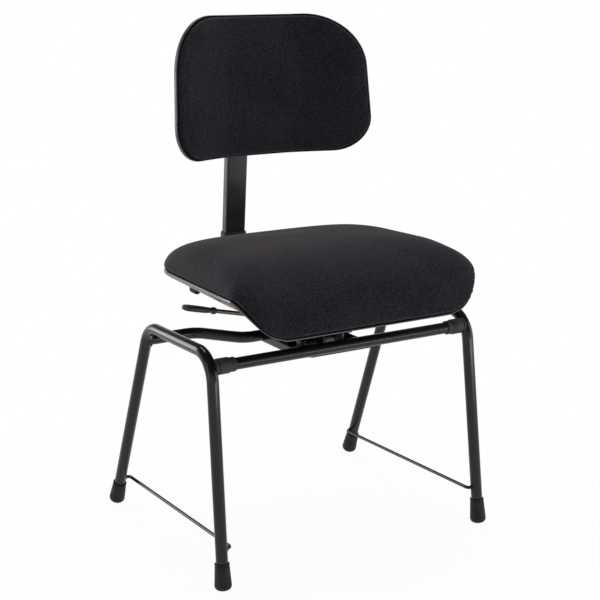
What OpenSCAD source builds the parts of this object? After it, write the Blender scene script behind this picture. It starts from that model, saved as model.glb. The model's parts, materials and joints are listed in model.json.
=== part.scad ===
// Choir chair: a tubular steel frame with four legs, a padded seat with a waterfall front,
// and a padded backrest on a stem that leans back on a lever-locked mechanism.
// X runs across the chair, the sitter faces -Y, Z is up and the floor is at zero.
// Right and left are the sitter's own: the sitter's right, with the lever, is at -X.

/* [Frame] */
// Outside diameter of the frame tubes
tube_d = 20; // [16:0.5:25]
// Wall of the frame tubes
tube_wall = 1.5; // [1:0.25:3]
// Distance between the two side frames at the floor
foot_track = 521; // [460:1:580]
// Inward lean of each side frame in degrees
side_lean = 1.18; // [0:0.1:3]
// Distance between front and rear foot axes at the floor
foot_base = 429.5; // [380:1:480]
// Lean of the front legs in degrees
front_splay = 6.5; // [2:0.1:10]
// Lean of the rear legs in degrees
rear_rake = 22.2; // [15:0.1:26]
// Height of the front corner of a side frame
frame_front_z = 381; // [340:1:420]
// Height of the rear corner of a side frame
frame_rear_z = 375; // [340:1:420]
// Radius of the side frame bends on the tube's axis
frame_bend_r = 48; // [35:1:60]
// Height of the front crossbar's axis
crossbar_z = 360.3; // [345:0.5:368]
// Height of the rear cross tube's axis
cross_tube_z = 348; // [335:0.5:356]
// How far the middle of the rear cross tube is set forward of its ends
jog_depth = 76; // [60:1:90]
// Distance between the outer corners of the jog
jog_outer = 319; // [290:1:340]
// Distance between the inner corners of the jog
jog_inner = 204; // [180:1:220]
// Radius of the jog bends on the tube's axis
jog_bend_r = 35; // [25:1:40]

/* [Crossbar sleeves] */
// Outside diameter of a sleeve beside the leg
sleeve_d = 26.6; // [24:0.2:30]
// Outside diameter of a sleeve's narrow end
sleeve_neck_d = 24; // [22:0.2:26]
// Length of a sleeve from the leg's axis
sleeve_reach = 43; // [35:1:55]
// Length of the narrow end
sleeve_neck = 11; // [6:0.5:16]

/* [Feet and tie rods] */
// Greatest diameter of a rubber foot
foot_d = 28.5; // [26:0.5:34]
// Diameter of a foot at its top rim
foot_top_d = 24.4; // [23:0.2:26]
// Length of a foot along the leg
foot_len = 45; // [35:1:60]
// Radius of the rounded edge under a foot
foot_edge_r = 8; // [5:0.5:10]
// Depth to which a foot is flattened by the floor
foot_flat = 0.5; // [0.3:0.1:1]
// Diameter of the tie rods
rod_d = 6; // [5:0.5:8]
// Height of a tie rod at the front leg
rod_front_z = 67; // [60:1:100]
// Height of a tie rod at the rear leg
rod_rear_z = 53; // [50:1:90]
// Distance from a tie rod's axis to the leg's axis
rod_offset = 18; // [14:0.5:21]

/* [Seat carrier] */
// Width of the seat carrier
carrier_w = 135; // [124:1:150]
// Height of the carrier's side flanges over its floor
carrier_flange = 12; // [8:0.5:16]
// Thickness of the carrier's sheet
carrier_t = 2.5; // [1.5:0.25:4]
// Where the carrier's level floor begins, behind the crossbar
carrier_rise = 52; // [40:1:60]
// How far the carrier runs on behind the rear cross tube's axis
carrier_tail = 14; // [12:1:20]
// Height of the spacers under the mechanism
spacer_h = 22; // [21:0.5:30]
// Outside diameter of the spacers
spacer_d = 16; // [14:0.5:20]
// Diameter of the carrier bolts
carrier_bolt_d = 8; // [6:0.5:8]

/* [Mechanism] */
// Width of the mechanism housing
housing_w = 110; // [100:1:114]
// Length of the mechanism housing
housing_len = 152; // [148:1:160]
// Height of the mechanism housing
housing_h = 61.5; // [60:0.5:70]
// Thickness of the housing's sheet
housing_t = 2.5; // [2:0.25:4]
// Where the housing ends behind the rear cross tube's middle
housing_tail = 49; // [44:1:54]
// Height of the tilt axis over the housing's base
pivot_rise = 30; // [28:0.5:34]
// Distance of the tilt axis behind the rear cross tube's middle
pivot_back = 29; // [26:1:34]
// Diameter of the tilt shaft
pivot_d = 12; // [10:0.5:14]
// Full recline of the backrest in degrees
recline = 18; // [10:1:18]
// Thickness of the seat mounting plate
plate_t = 3.5; // [2.5:0.5:5]
// Width of the seat mounting plate
plate_w = 196; // [180:2:210]
// Length of the seat mounting plate
plate_len = 150; // [140:2:160]
// Thickness of one lock plate
lock_t = 2; // [1.5:0.25:2.5]
// Diameter of the lock bolt
lock_bolt_d = 8; // [6:0.5:9]
// Distance of the lock bolt from the tilt axis
lock_reach = 60; // [56:1:64]

/* [Tilt lever] */
// Rise of the lever in degrees
lever_rise = 13.2; // [8:0.2:16]
// Length of the lever from its pin to the tip of the grip
lever_len = 183; // [170:1:200]
// Diameter of the lever's rod
lever_rod_d = 7.5; // [6:0.5:9]
// Length of the lever's grip
grip_len = 62; // [50:1:75]
// Width of the lever's grip
grip_w = 22; // [18:1:28]
// Thickness of the lever's grip
grip_t = 10; // [8:0.5:12]

/* [Seat] */
// Length of the seat
seat_len = 449; // [420:1:480]
// Distance from the seat's front edge forward of the foot midpoint
seat_front = 252; // [240:1:265]
// Width of the seat's front where its sides would meet it
seat_front_w = 480; // [440:1:500]
// Width of the seat's rear where its sides would meet it
seat_rear_w = 390; // [370:1:460]
// Corner radius at the seat's front
seat_front_r = 52; // [35:1:60]
// Corner radius at the seat's rear
seat_rear_r = 136; // [90:1:150]
// Height of the rim at the seat's front edge
rim_front_z = 412; // [405:1:425]
// Height of the rim at the front corners
rim_side_z = 476; // [460:1:485]
// Height of the rim at the seat's rear
rim_rear_z = 456; // [450:1:475]
// Height of the seat's crown
seat_top_z = 526; // [500:1:530]
// Height of the shell's visible edge band
seat_band = 7; // [5:0.5:10]
// Thickness of the seat shell
shell_t = 3; // [2:0.25:4]
// Thickness of the seat's inner board
board_t = 12; // [10:0.5:15]

/* [Back arm and stem] */
// Width of the flat steel back arm
arm_w = 40; // [34:1:44]
// Thickness of the flat steel back arm
arm_t = 8; // [6:0.5:10]
// Bend radius of the back arm on its middle line
arm_bend_r = 19; // [12:1:19]
// Distance of the stem behind the seat's rear edge at the foot of the guide sleeve
stem_gap = 31.2; // [25:0.2:39]
// Height of the foot of the guide sleeve
stem_z = 415; // [412:1:420]
// Forward lean of the stem in degrees
stem_lean = 5.15; // [3:0.05:8]
// Width of the stem
stem_w = 42; // [36:1:46]
// Thickness of the stem
stem_t = 18; // [15:0.5:22]
// Height of the stem's top over the foot of the guide sleeve
stem_top = 392; // [380:1:400]
// Depth of the stem's seat in the guide sleeve
stem_grip = 50; // [40:1:60]
// Wall of the guide sleeve
guide_wall = 2.6; // [2:0.2:4]
// Travel of the stem downward
stem_down = 20; // [10:1:30]
// Diameter of the clamp knob
knob_d = 34; // [28:1:40]
// Length of the clamp knob's head
knob_len = 11.8; // [9:0.2:14]

/* [Backrest] */
// Width of the backrest at its foot, where its sides would meet it
back_w = 399; // [380:1:430]
// Width of the backrest at its top, where its sides would meet it
back_top_w = 372; // [350:1:420]
// Height of the backrest
back_h = 247; // [240:1:280]
// Radius of the backrest's lower corners
back_r = 60; // [50:1:90]
// Radius of the backrest's upper corners
back_top_r = 100; // [60:1:110]
// Height of the backrest's middle
back_z = 769.8; // [760:0.2:780]
// Distance of the backrest's rim forward of the stem's foot, at the rim's middle
back_reach = 105.2; // [102:0.2:112]
// Rearward lean of the backrest in degrees
back_lean = 3; // [2:0.1:6]
// How far the ends of the backrest wrap forward
back_wrap = 72; // [45:1:80]
// Height of the cushion's crown over the backrest's rim
back_crown = 18; // [12:1:26]
// Depth of the backrest shell behind its rim
back_depth = 28; // [24:1:32]
// Width of the backrest shell's visible edge band
back_band = 10; // [7:0.5:12]
// Thickness of the backrest's inner board
back_board_t = 9; // [6:0.5:10]

/* [Hidden] */
$fn = 48;

// One overrun for every cut
over = 1;
// Clearance of a running fit, on the radius
run_gap = 0.05;
// Clearance of soft and moulded pieces to their seat
seat_gap = 0.3;
// Facets of a hexagon
hex = 6;

tube_r = tube_d / 2;
foot_x = foot_track / 2;
front_foot_y = -foot_base / 2;
rear_foot_y = foot_base / 2;

// Lengths in a side frame's own leaning plane
function up_plane(z) = z / cos(side_lean);
function front_leg_y(z) = front_foot_y + up_plane(z) * tan(front_splay);
function rear_leg_y(z) = rear_foot_y - up_plane(z) * tan(rear_rake);
function leg_x(z) = foot_x - z * tan(side_lean);

// Each foot's rounded edge is a ring whose lowest point touches the floor
foot_ring_r = foot_d / 2 - foot_edge_r;
function leg_tilt(a) = acos(cos(a) * cos(side_lean));
function foot_ring_z(a) = foot_edge_r + foot_ring_r * sin(leg_tilt(a)) - foot_flat;
function foot_ring_along(a) = foot_ring_z(a) / (cos(a) * cos(side_lean));

// The stem stands behind the seat, and the backrest is set forward of the stem
stem_y = seat_len - seat_front + stem_gap;
back_y = stem_y - back_reach;

function unit(v) = v / norm(v);
function heading(a, b) = atan2(b[1] - a[1], b[0] - a[0]);
function turn(a, b, c) = let (t = heading(b, c) - heading(a, b)) t > 180 ? t - 360 : t < -180 ? t + 360 : t;
function bend_reach(path, i, r) = r * tan(abs(turn(path[i - 1], path[i], path[i + 1])) / 2);

// Bar with the children's flat profile along a flat path, with bends of radius r at its corners
// and its ends run on by a spare length. Straights lap into the bends, whose profile is a hair
// thicker: the children add $swell to their size.
bend_lap = 0.1;
bend_swell = 0.1;
module bent_run(path, r, spare = 0) {
    last = len(path) - 1;
    $swell = 0;
    for (i = [0 : last - 1]) {
        along = unit(path[i + 1] - path[i]);
        back = i == 0 ? spare : bend_lap - bend_reach(path, i, r);
        on = i == last - 1 ? spare : bend_lap - bend_reach(path, i + 1, r);
        from = path[i] - along * back;
        to = path[i + 1] + along * on;
        translate([from[0], from[1], 0])
            rotate([0, 0, heading(path[i], path[i + 1])])
                rotate([90, 0, 90])
                    linear_extrude(norm(to - from)) children();
    }
    for (i = [1 : last - 1]) {
        sweep = turn(path[i - 1], path[i], path[i + 1]);
        side = sign(sweep);
        along = unit(path[i] - path[i - 1]);
        start = path[i] - along * bend_reach(path, i, r);
        centre = start + side * r * [-along[1], along[0]];
        first = heading(path[i - 1], path[i]) - side * 90 + min(sweep, 0);
        translate([centre[0], centre[1], 0])
            rotate([0, 0, first])
                rotate_extrude(angle = abs(sweep)) translate([r, 0]) let ($swell = bend_swell) children();
    }
}

// Places a drawing made in Y and Z into the side view
module side_view() {
    rotate([90, 0, 90]) children();
}

module mirrored(side) {
    if (side < 0) {
        mirror([1, 0, 0]) children();
    } else {
        children();
    }
}

module side_plane() {
    translate([foot_x, 0, 0]) rotate([0, -side_lean, 0]) side_view() children();
}

front_dir = [sin(front_splay), cos(front_splay)];
rear_dir = [-sin(rear_rake), cos(rear_rake)];
frame_path = [
    [front_foot_y, 0] + front_dir * foot_ring_along(front_splay),
    [front_leg_y(frame_front_z), up_plane(frame_front_z)],
    [rear_leg_y(frame_rear_z), up_plane(frame_rear_z)],
    [rear_foot_y, 0] + rear_dir * foot_ring_along(rear_rake)
];

module frame_bar(d, spare = 0) {
    side_plane() bent_run(frame_path, frame_bend_r, spare) circle(d = d + $swell);
}

module side_frame(side) {
    color("black") mirrored(side) difference() {
        frame_bar(tube_d);
        frame_bar(tube_d - 2 * tube_wall, over);
    }
}

// The crossbar meets the front bend on the bend's own axis
front_bend_from = frame_path[1] - front_dir * bend_reach(frame_path, 1, frame_bend_r);
front_bend_centre = front_bend_from + frame_bend_r * [front_dir[1], -front_dir[0]];
crossbar_climb = up_plane(crossbar_z) - front_bend_centre[1];
crossbar_y = front_bend_centre[0] - sqrt(pow(frame_bend_r, 2) - pow(crossbar_climb, 2));

module across(y, z, from, to) {
    translate([from, y, z]) rotate([0, 90, 0]) linear_extrude(to - from) children();
}

// The cross tubes' cut ends stop short of the legs' axes
cross_end_gap = 4;

module both_frame_bars() {
    for (side = [-1, 1]) mirrored(side) frame_bar(tube_d);
}

module front_crossbar() {
    reach = leg_x(crossbar_z) - cross_end_gap;
    color("black") difference() {
        across(crossbar_y, crossbar_z, -reach, reach) circle(d = tube_d);
        across(crossbar_y, crossbar_z, -reach - over, reach + over) circle(d = tube_d - 2 * tube_wall);
        both_frame_bars();
    }
}

module crossbar_sleeve(side) {
    outer = leg_x(crossbar_z);
    inner = outer - sleeve_reach;
    color("dimgray") mirrored(side) difference() {
        union() {
            across(crossbar_y, crossbar_z, inner, outer) circle(d = sleeve_neck_d);
            across(crossbar_y, crossbar_z, inner + sleeve_neck, outer) circle(d = sleeve_d);
        }
        across(crossbar_y, crossbar_z, inner - over, outer + over) circle(d = tube_d + 2 * run_gap);
        frame_bar(tube_d + 2 * run_gap);
    }
}

// The rear cross tube runs level from leg to leg, with a jog that sets its middle forward
cross_end_y = rear_leg_y(cross_tube_z);
cross_mid_y = cross_end_y - jog_depth;
cross_end_x = leg_x(cross_tube_z) - cross_end_gap;
cross_path = [
    [-cross_end_x, cross_end_y],
    [-jog_outer / 2, cross_end_y],
    [-jog_inner / 2, cross_mid_y],
    [jog_inner / 2, cross_mid_y],
    [jog_outer / 2, cross_end_y],
    [cross_end_x, cross_end_y]
];

module cross_bar(d, spare = 0) {
    translate([0, 0, cross_tube_z]) bent_run(cross_path, jog_bend_r, spare) circle(d = d + $swell);
}

module rear_cross_tube() {
    color("black") difference() {
        cross_bar(tube_d);
        cross_bar(tube_d - 2 * tube_wall, over);
        both_frame_bars();
    }
}

// A tie rod runs along the inner side of the legs, and both its ends turn out into them
rod_bend_r = rod_offset - tube_r;
rod_front_y = front_leg_y(rod_front_z);
rod_rear_y = rear_leg_y(rod_rear_z);
rod_run = norm([rod_rear_y - rod_front_y, rod_front_z - rod_rear_z]);
rod_fall = atan2(rod_front_z - rod_rear_z, rod_rear_y - rod_front_y);
rod_front_x = leg_x(rod_front_z);
rod_rear_x = leg_x(rod_rear_z);

module tie_rod(side) {
    path = [
        [rod_front_x, 0],
        [rod_front_x - rod_offset, 0],
        [rod_rear_x - rod_offset, rod_run],
        [rod_rear_x, rod_run]
    ];
    color("black") mirrored(side) difference() {
        translate([0, rod_front_y, rod_front_z])
            rotate([-rod_fall, 0, 0]) bent_run(path, rod_bend_r) circle(d = rod_d + $swell);
        frame_bar(tube_d);
    }
}

// A foot is turned about the leg's axis, with a rim at its top and a rounded lower edge.
// Its turned outline starts on the side where the floor flattens it.
foot_rim_h = 3;
foot_groove = 0.5;
foot_top = foot_len - foot_edge_r;
module foot(side, y, a, dir) {
    base = [y, 0] + dir * foot_ring_along(a);
    color("black") mirrored(side) difference() {
        side_plane() translate([base[0], base[1], 0]) rotate([0, 0, -atan2(dir[0], dir[1])])
            rotate([-90, 0, 0]) difference() {
                rotate([0, 0, dir[0] < 0 ? 180 : 0]) rotate_extrude() foot_section();
                cylinder(d = tube_d + 2 * run_gap, h = foot_top + over);
            }
        translate([0, -foot_base, -foot_d]) cube([foot_track, 2 * foot_base, foot_d]);
    }
}

module foot_section() {
    intersection() {
        translate([foot_ring_r, 0]) circle(r = foot_edge_r);
        translate([0, -foot_edge_r]) square([foot_d / 2, 2 * foot_edge_r]);
    }
    translate([0, -foot_edge_r]) square([foot_ring_r, foot_edge_r]);
    polygon([
        [0, 0],
        [foot_d / 2, 0],
        [foot_top_d / 2, foot_top - foot_rim_h],
        [foot_top_d / 2 - foot_groove, foot_top - foot_rim_h],
        [foot_top_d / 2 - foot_groove, foot_top - foot_rim_h + foot_groove],
        [foot_top_d / 2, foot_top - foot_rim_h + foot_groove],
        [foot_top_d / 2, foot_top],
        [0, foot_top]
    ]);
}

// The carrier is a folded tray that holds the rear cross tube and rises to the crossbar
carrier_floor_z = cross_tube_z - tube_r;
carrier_flat_y = crossbar_y + carrier_rise;
carrier_end_y = cross_mid_y + carrier_tail;
carrier_join_z = crossbar_z - tube_r;

// Side outline of a band of the tray, between two heights over its floor
function tray_band(low, high) = [
    [crossbar_y, carrier_join_z + low],
    [carrier_flat_y, carrier_floor_z + low],
    [carrier_end_y, carrier_floor_z + low],
    [carrier_end_y, carrier_floor_z + high],
    [carrier_flat_y, carrier_floor_z + high],
    [crossbar_y, carrier_join_z + high]
];

module seat_carrier() {
    color("black") difference() {
        union() {
            translate([-carrier_w / 2, 0, 0]) side_view() linear_extrude(carrier_w)
                polygon(tray_band(-carrier_t, 0));
            for (x = [-carrier_w / 2, carrier_w / 2 - carrier_t])
                translate([x, 0, 0]) side_view() linear_extrude(carrier_t)
                    polygon(tray_band(-carrier_t, carrier_flange));
        }
        across(crossbar_y, crossbar_z, -carrier_w, carrier_w) circle(d = tube_d);
        cross_bar(tube_d);
        carrier_bolt_places() cylinder(d = carrier_bolt_d + 2 * run_gap, h = carrier_w, center = true);
    }
}

// Four bolts hold the mechanism on its spacers
housing_z = carrier_floor_z + spacer_h;
housing_end_y = cross_mid_y + housing_tail;
housing_front_y = housing_end_y - housing_len;
bolt_spread_x = housing_w / 2 - spacer_d;
bolt_front_y = housing_front_y + spacer_d;
bolt_rear_y = cross_mid_y - tube_r - spacer_d;

module carrier_bolt_places() {
    for (x = [-bolt_spread_x, bolt_spread_x], y = [bolt_front_y, bolt_rear_y])
        translate([x, y, carrier_floor_z]) children();
}

module carrier_spacers() {
    color("silver") carrier_bolt_places() difference() {
        cylinder(d = spacer_d, h = spacer_h);
        translate([0, 0, -over]) cylinder(d = carrier_bolt_d + 2 * run_gap, h = spacer_h + 2 * over);
    }
}

bolt_head_h = 3;
bolt_head_share = 1.8;
bolt_head_d = bolt_head_share * carrier_bolt_d;
nut_share = 1.7;
nut_d = nut_share * carrier_bolt_d;
nut_h_share = 0.8;
nut_h = nut_h_share * carrier_bolt_d;
bolt_grip = carrier_t + spacer_h + housing_t;

module carrier_bolts() {
    color("silver") carrier_bolt_places() translate([0, 0, -carrier_t]) {
        cylinder(d = carrier_bolt_d, h = bolt_grip + nut_h + over);
        translate([0, 0, -bolt_head_h]) cylinder(d = bolt_head_d, h = bolt_head_h);
    }
}

module carrier_nuts() {
    color("silver") carrier_bolt_places() translate([0, 0, spacer_h + housing_t]) difference() {
        cylinder(d = nut_d, h = nut_h, $fn = hex);
        translate([0, 0, -over]) cylinder(d = carrier_bolt_d + 2 * run_gap, h = nut_h + 2 * over);
    }
}

// The housing is a pressed tub, open at the top and the rear
pivot_y = cross_mid_y + pivot_back;
pivot_z = housing_z + pivot_rise;
bush_wall = 2;
bush_d = pivot_d + 2 * bush_wall;
bush_lip = 2.5;
bush_flange_d = bush_d + 2 * bush_lip;
bush_flange_t = 1.5;
lock_y = pivot_y - lock_reach;
plate_z = housing_z + housing_h;

module mechanism_housing() {
    color("black") difference() {
        translate([-housing_w / 2, housing_front_y, housing_z]) cube([housing_w, housing_len, housing_h]);
        translate([-housing_w / 2 + housing_t, housing_front_y + housing_t, housing_z + housing_t])
            cube([housing_w - 2 * housing_t, housing_len, housing_h]);
        across(pivot_y, pivot_z, -housing_w, housing_w) circle(d = bush_d);
        across(lock_y, pivot_z, -housing_w, housing_w) circle(d = lock_bolt_d + 2 * run_gap);
        carrier_bolt_places() cylinder(d = carrier_bolt_d + 2 * run_gap, h = spacer_h + housing_h / 2);
    }
}

// The mounting plate closes the housing and carries the seat on four screws
plate_y = (housing_front_y + housing_end_y) / 2;
plate_corner_r = 14;
seat_screw_d = 6;
screw_spread_x = plate_w / 2 - plate_corner_r;
screw_spread_y = plate_len / 2 - plate_corner_r;
shell_base_z = plate_z + plate_t;

module rounded_plate(w, l, r) {
    square([w - 2 * r, l], center = true);
    square([w, l - 2 * r], center = true);
    for (x = [-1, 1], y = [-1, 1]) translate([x * (w / 2 - r), y * (l / 2 - r)]) circle(r = r);
}

module seat_screw_places() {
    for (x = [-screw_spread_x, screw_spread_x], y = [-screw_spread_y, screw_spread_y])
        translate([x, plate_y + y, plate_z]) children();
}

module seat_mounting_plate() {
    color("black") difference() {
        translate([0, plate_y, plate_z]) linear_extrude(plate_t)
            rounded_plate(plate_w, plate_len, plate_corner_r);
        seat_screw_places() cylinder(d = seat_screw_d + 2 * run_gap, h = 2 * plate_t + over, center = true);
    }
}

screw_head_d = 2 * seat_screw_d;
screw_head_share = 0.6;
screw_head_h = screw_head_share * seat_screw_d;
screw_tip = 1.5;

module seat_screws() {
    color("silver") seat_screw_places() {
        translate([0, 0, -screw_head_h]) cylinder(d = screw_head_d, h = screw_head_h);
        cylinder(d = seat_screw_d, h = plate_t + shell_t + board_t - screw_tip);
    }
}

module pivot_bushes() {
    color("goldenrod") for (side = [-1, 1]) mirrored(side) difference() {
        union() {
            across(pivot_y, pivot_z, housing_w / 2 - housing_t, housing_w / 2) circle(d = bush_d);
            across(pivot_y, pivot_z, housing_w / 2 - housing_t - bush_flange_t, housing_w / 2 - housing_t)
                circle(d = bush_flange_d);
        }
        across(pivot_y, pivot_z, 0, housing_w) circle(d = pivot_d + 2 * run_gap);
    }
}

clip_t = 1.2;
clip_rim = 4;
clip_d = pivot_d + 2 * clip_rim;
clip_groove = 1;
clip_groove_d = pivot_d - 2 * clip_groove;
shaft_spare = 2.4;
shaft_end = housing_w / 2 + clip_t + shaft_spare;

module pivot_shaft() {
    color("silver") difference() {
        across(pivot_y, pivot_z, -shaft_end, shaft_end) circle(d = pivot_d);
        for (side = [-1, 1]) mirrored(side) difference() {
            across(pivot_y, pivot_z, housing_w / 2, housing_w / 2 + clip_t) circle(d = pivot_d + over);
            across(pivot_y, pivot_z, 0, housing_w) circle(d = clip_groove_d);
        }
    }
}

module shaft_clips() {
    color("silver") for (side = [-1, 1]) mirrored(side) difference() {
        across(pivot_y, pivot_z, housing_w / 2, housing_w / 2 + clip_t) circle(d = clip_d);
        across(pivot_y, pivot_z, 0, housing_w) circle(d = clip_groove_d + 2 * run_gap);
        translate([0, pivot_y - clip_groove_d / 2, pivot_z - clip_d])
            cube([housing_w, clip_groove_d, clip_d]);
    }
}

// The hub turns on the shaft and carries the back arm and the slotted lock plates
hub_wall = 5;
hub_d = pivot_d + 2 * hub_wall;
hub_len = housing_w - 2 * housing_t - 2 * bush_flange_t - 2 * seat_gap;

module pivot_hub() {
    color("dimgray") difference() {
        across(pivot_y, pivot_z, -hub_len / 2, hub_len / 2) circle(d = hub_d);
        across(pivot_y, pivot_z, -hub_len, hub_len) circle(d = pivot_d + 2 * run_gap);
    }
}

// Two torsion springs sit on the hub on either side of the arm, drawn as closed coils
spring_wire = 4;
spring_gap = 3;
module tilt_springs() {
    color("gray") for (side = [-1, 1]) mirrored(side) difference() {
        across(pivot_y, pivot_z, arm_w / 2 + spring_gap, hub_len / 2 - spring_gap)
            circle(d = hub_d + 2 * run_gap + 2 * spring_wire);
        across(pivot_y, pivot_z, 0, housing_w) circle(d = hub_d + 2 * run_gap);
    }
}

// The moving lock plates swing with the arm, and the lock bolt passes through their curved slots
lock_pitch = lock_t + seat_gap;
lock_pack = 2 * lock_pitch + lock_t + 2 * seat_gap;
lock_margin = 4;
lock_floor_gap = 1;
lock_ring_r = hub_d / 2 + lock_margin;
slot_r = lock_bolt_d / 2 + seat_gap;
module arm_lock_plates() {
    inner = lock_reach - slot_r - lock_margin;
    outer = lock_reach + slot_r + lock_margin;
    spare = asin((slot_r + lock_margin) / lock_reach);
    slot_spare = asin(slot_r / lock_reach);
    color("silver") for (side = [-1, 1])
        across(pivot_y, pivot_z, side * lock_pitch - lock_t / 2, side * lock_pitch + lock_t / 2)
            difference() {
                union() {
                    circle(r = lock_ring_r);
                    translate([-slot_r, -inner - lock_margin]) square([2 * slot_r + lock_margin, inner]);
                    sector(inner, outer, -spare, recline + spare);
                }
                circle(d = hub_d);
                sector(lock_reach - slot_r, lock_reach + slot_r, -slot_spare, recline + slot_spare);
                translate([pivot_rise - housing_t - lock_floor_gap, -2 * outer]) square(2 * outer);
            }
}

// Part of a ring that starts at the front and is measured downward from there, in degrees
module sector(inner, outer, from, to) {
    steps = 12;
    angles = [for (i = [0 : steps]) from + (to - from) * i / steps];
    polygon(concat(
        [for (a = angles) outer * [sin(a), -cos(a)]],
        [for (i = [steps : -1 : 0]) inner * [sin(angles[i]), -cos(angles[i])]]));
}

// The fixed lock plates stand on the housing floor, between and beside the moving ones
lock_plate_w = 22;
lock_plate_h = pivot_rise - housing_t + lock_bolt_d;
module fixed_lock_plates() {
    color("gray") difference() {
        for (i = [-2, 0, 2])
            translate([i * lock_pitch - lock_t / 2, lock_y - lock_plate_w / 2, housing_z + housing_t])
                cube([lock_t, lock_plate_w, lock_plate_h]);
        across(lock_y, pivot_z, -housing_w, housing_w) circle(d = lock_bolt_d + 2 * run_gap);
    }
}

lock_head_h = 5;
module lock_bolt() {
    color("silver") {
        across(lock_y, pivot_z, -housing_w / 2, housing_w / 2 + lock_head_h) circle(d = lock_bolt_d);
        across(lock_y, pivot_z, housing_w / 2, housing_w / 2 + lock_head_h)
            circle(d = 2 * lock_bolt_d, $fn = hex);
    }
}

// The lever turns on a pin between two ears on the right side of the housing
ear_t = 2.5;
ear_gap = lever_rod_d + 2 * seat_gap;
ear_reach = 14;
lever_pin_d = 5;
lever_x = -housing_w / 2 - ear_reach + lever_pin_d;
lever_z = pivot_z;
lever_y = lock_y - lock_bolt_d - lever_rod_d;
ear_h = 18;

module lever_bracket() {
    color("dimgray") difference() {
        union() {
            for (y = [-ear_gap / 2 - ear_t, ear_gap / 2])
                translate([-housing_w / 2 - ear_reach, lever_y + y, lever_z - ear_h / 2])
                    cube([ear_reach, ear_t, ear_h]);
            translate([-housing_w / 2 - ear_t, lever_y - ear_gap / 2 - ear_t, lever_z - ear_h / 2])
                cube([ear_t, ear_gap + 2 * ear_t, ear_h]);
        }
        lever_pin_bar(lever_pin_d, ear_gap);
    }
}

module lever_pin_bar(d, spare) {
    translate([lever_x, lever_y, lever_z]) rotate([90, 0, 0])
        cylinder(d = d, h = ear_gap + 2 * ear_t + spare, center = true);
}

module lever_pin() {
    color("silver") lever_pin_bar(lever_pin_d, 2 * run_gap + ear_t);
}

module lever_frame() {
    translate([lever_x, lever_y, lever_z]) rotate([0, lever_rise, 0]) rotate([0, -90, 0]) children();
}

rod_in_grip = 30;
eye_wall = 2;
module lever_rod() {
    color("saddlebrown") difference() {
        lever_frame() union() {
            cylinder(d = lever_rod_d, h = lever_len - grip_len + rod_in_grip);
            rotate([90, 0, 0])
                cylinder(d = lever_pin_d + 2 * eye_wall, h = lever_rod_d + seat_gap, center = true);
        }
        lever_pin_bar(lever_pin_d + 2 * run_gap, ear_gap);
    }
}

// The grip swells from a round collar into a flat paddle with a round tip
collar_d = 12;
collar_len = 7;
module lever_grip() {
    color("black") lever_frame() translate([0, 0, lever_len - grip_len]) difference() {
        union() {
            cylinder(d = collar_d, h = collar_len);
            intersection() {
                translate([0, 0, collar_len]) rotate([90, 0, 90])
                    linear_extrude(grip_t, center = true) paddle_outline();
                translate([0, 0, collar_len]) rotate([0, 0, 90]) rotate([90, 0, 90])
                    linear_extrude(grip_w, center = true) paddle_edge();
            }
        }
        translate([0, 0, -over]) cylinder(d = lever_rod_d + 2 * run_gap, h = rod_in_grip + over);
    }
}

paddle_len = grip_len - collar_len;
module paddle_outline() {
    polygon([
        [-collar_d / 2, 0],
        [collar_d / 2, 0],
        [grip_w / 2, paddle_len / 3],
        [grip_w / 2, paddle_len - grip_w / 2],
        [-grip_w / 2, paddle_len - grip_w / 2],
        [-grip_w / 2, paddle_len / 3]
    ]);
    translate([0, paddle_len - grip_w / 2]) circle(d = grip_w);
}

module paddle_edge() {
    square([grip_t, 2 * (paddle_len - grip_t / 2)], center = true);
    translate([0, paddle_len - grip_t / 2]) circle(d = grip_t);
}

// Rounded outline through the given corners, as points on arcs and along the edges between them
function corner_arc(a, b, c, r, n) =
    let (
        u = unit(a - b),
        v = unit(c - b),
        half = acos(u * v) / 2,
        centre = b + unit(u + v) * r / sin(half),
        first = b + u * r / tan(half) - centre,
        span = 180 - 2 * half
    )
    [for (i = [0 : n]) let (t = span * i / n)
        centre + [first[0] * cos(t) - first[1] * sin(t), first[0] * sin(t) + first[1] * cos(t)]];

function rounded_outline(corners, radii, n, edge_steps) =
    let (
        m = len(corners),
        arcs = [for (i = [0 : m - 1])
            corner_arc(corners[(i + m - 1) % m], corners[i], corners[(i + 1) % m], radii[i], n)]
    )
    [for (i = [0 : m - 1]) each concat(
        arcs[i],
        [for (k = [1 : edge_steps - 1])
            arcs[i][n] + (arcs[(i + 1) % m][0] - arcs[i][n]) * k / edge_steps])];

// Closed solid from rings of points, listed from its lowest middle outward and up to its top middle.
// Past the widest ring the panels are split the other way, so that skins on one another stay clear.
module ring_solid(low, rings, top, widest) {
    n = len(rings[0]);
    m = len(rings);
    points = concat([low], [for (ring = rings) each ring], [top]);
    at = function (j, i) 1 + j * n + i % n;
    faces = concat(
        [for (i = [0 : n - 1]) [0, at(0, i), at(0, i + 1)]],
        [for (j = [0 : m - 2], i = [0 : n - 1]) let (k = j < widest ? j + 1 : j)
            [at(j, i), at(j + 1, i), at(k, i + 1)]],
        [for (j = [0 : m - 2], i = [0 : n - 1]) let (k = j < widest ? j : j + 1)
            [at(k, i), at(j + 1, i + 1), at(j, i + 1)]],
        [for (i = [0 : n - 1]) [at(m - 1, i), 1 + m * n, at(m - 1, i + 1)]]);
    polyhedron(points = points, faces = faces);
}

function smooth(t) = let (s = min(max(t, 0), 1)) s * s * (3 - 2 * s);
function mix(a, b, t) = a + (b - a) * t;

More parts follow.
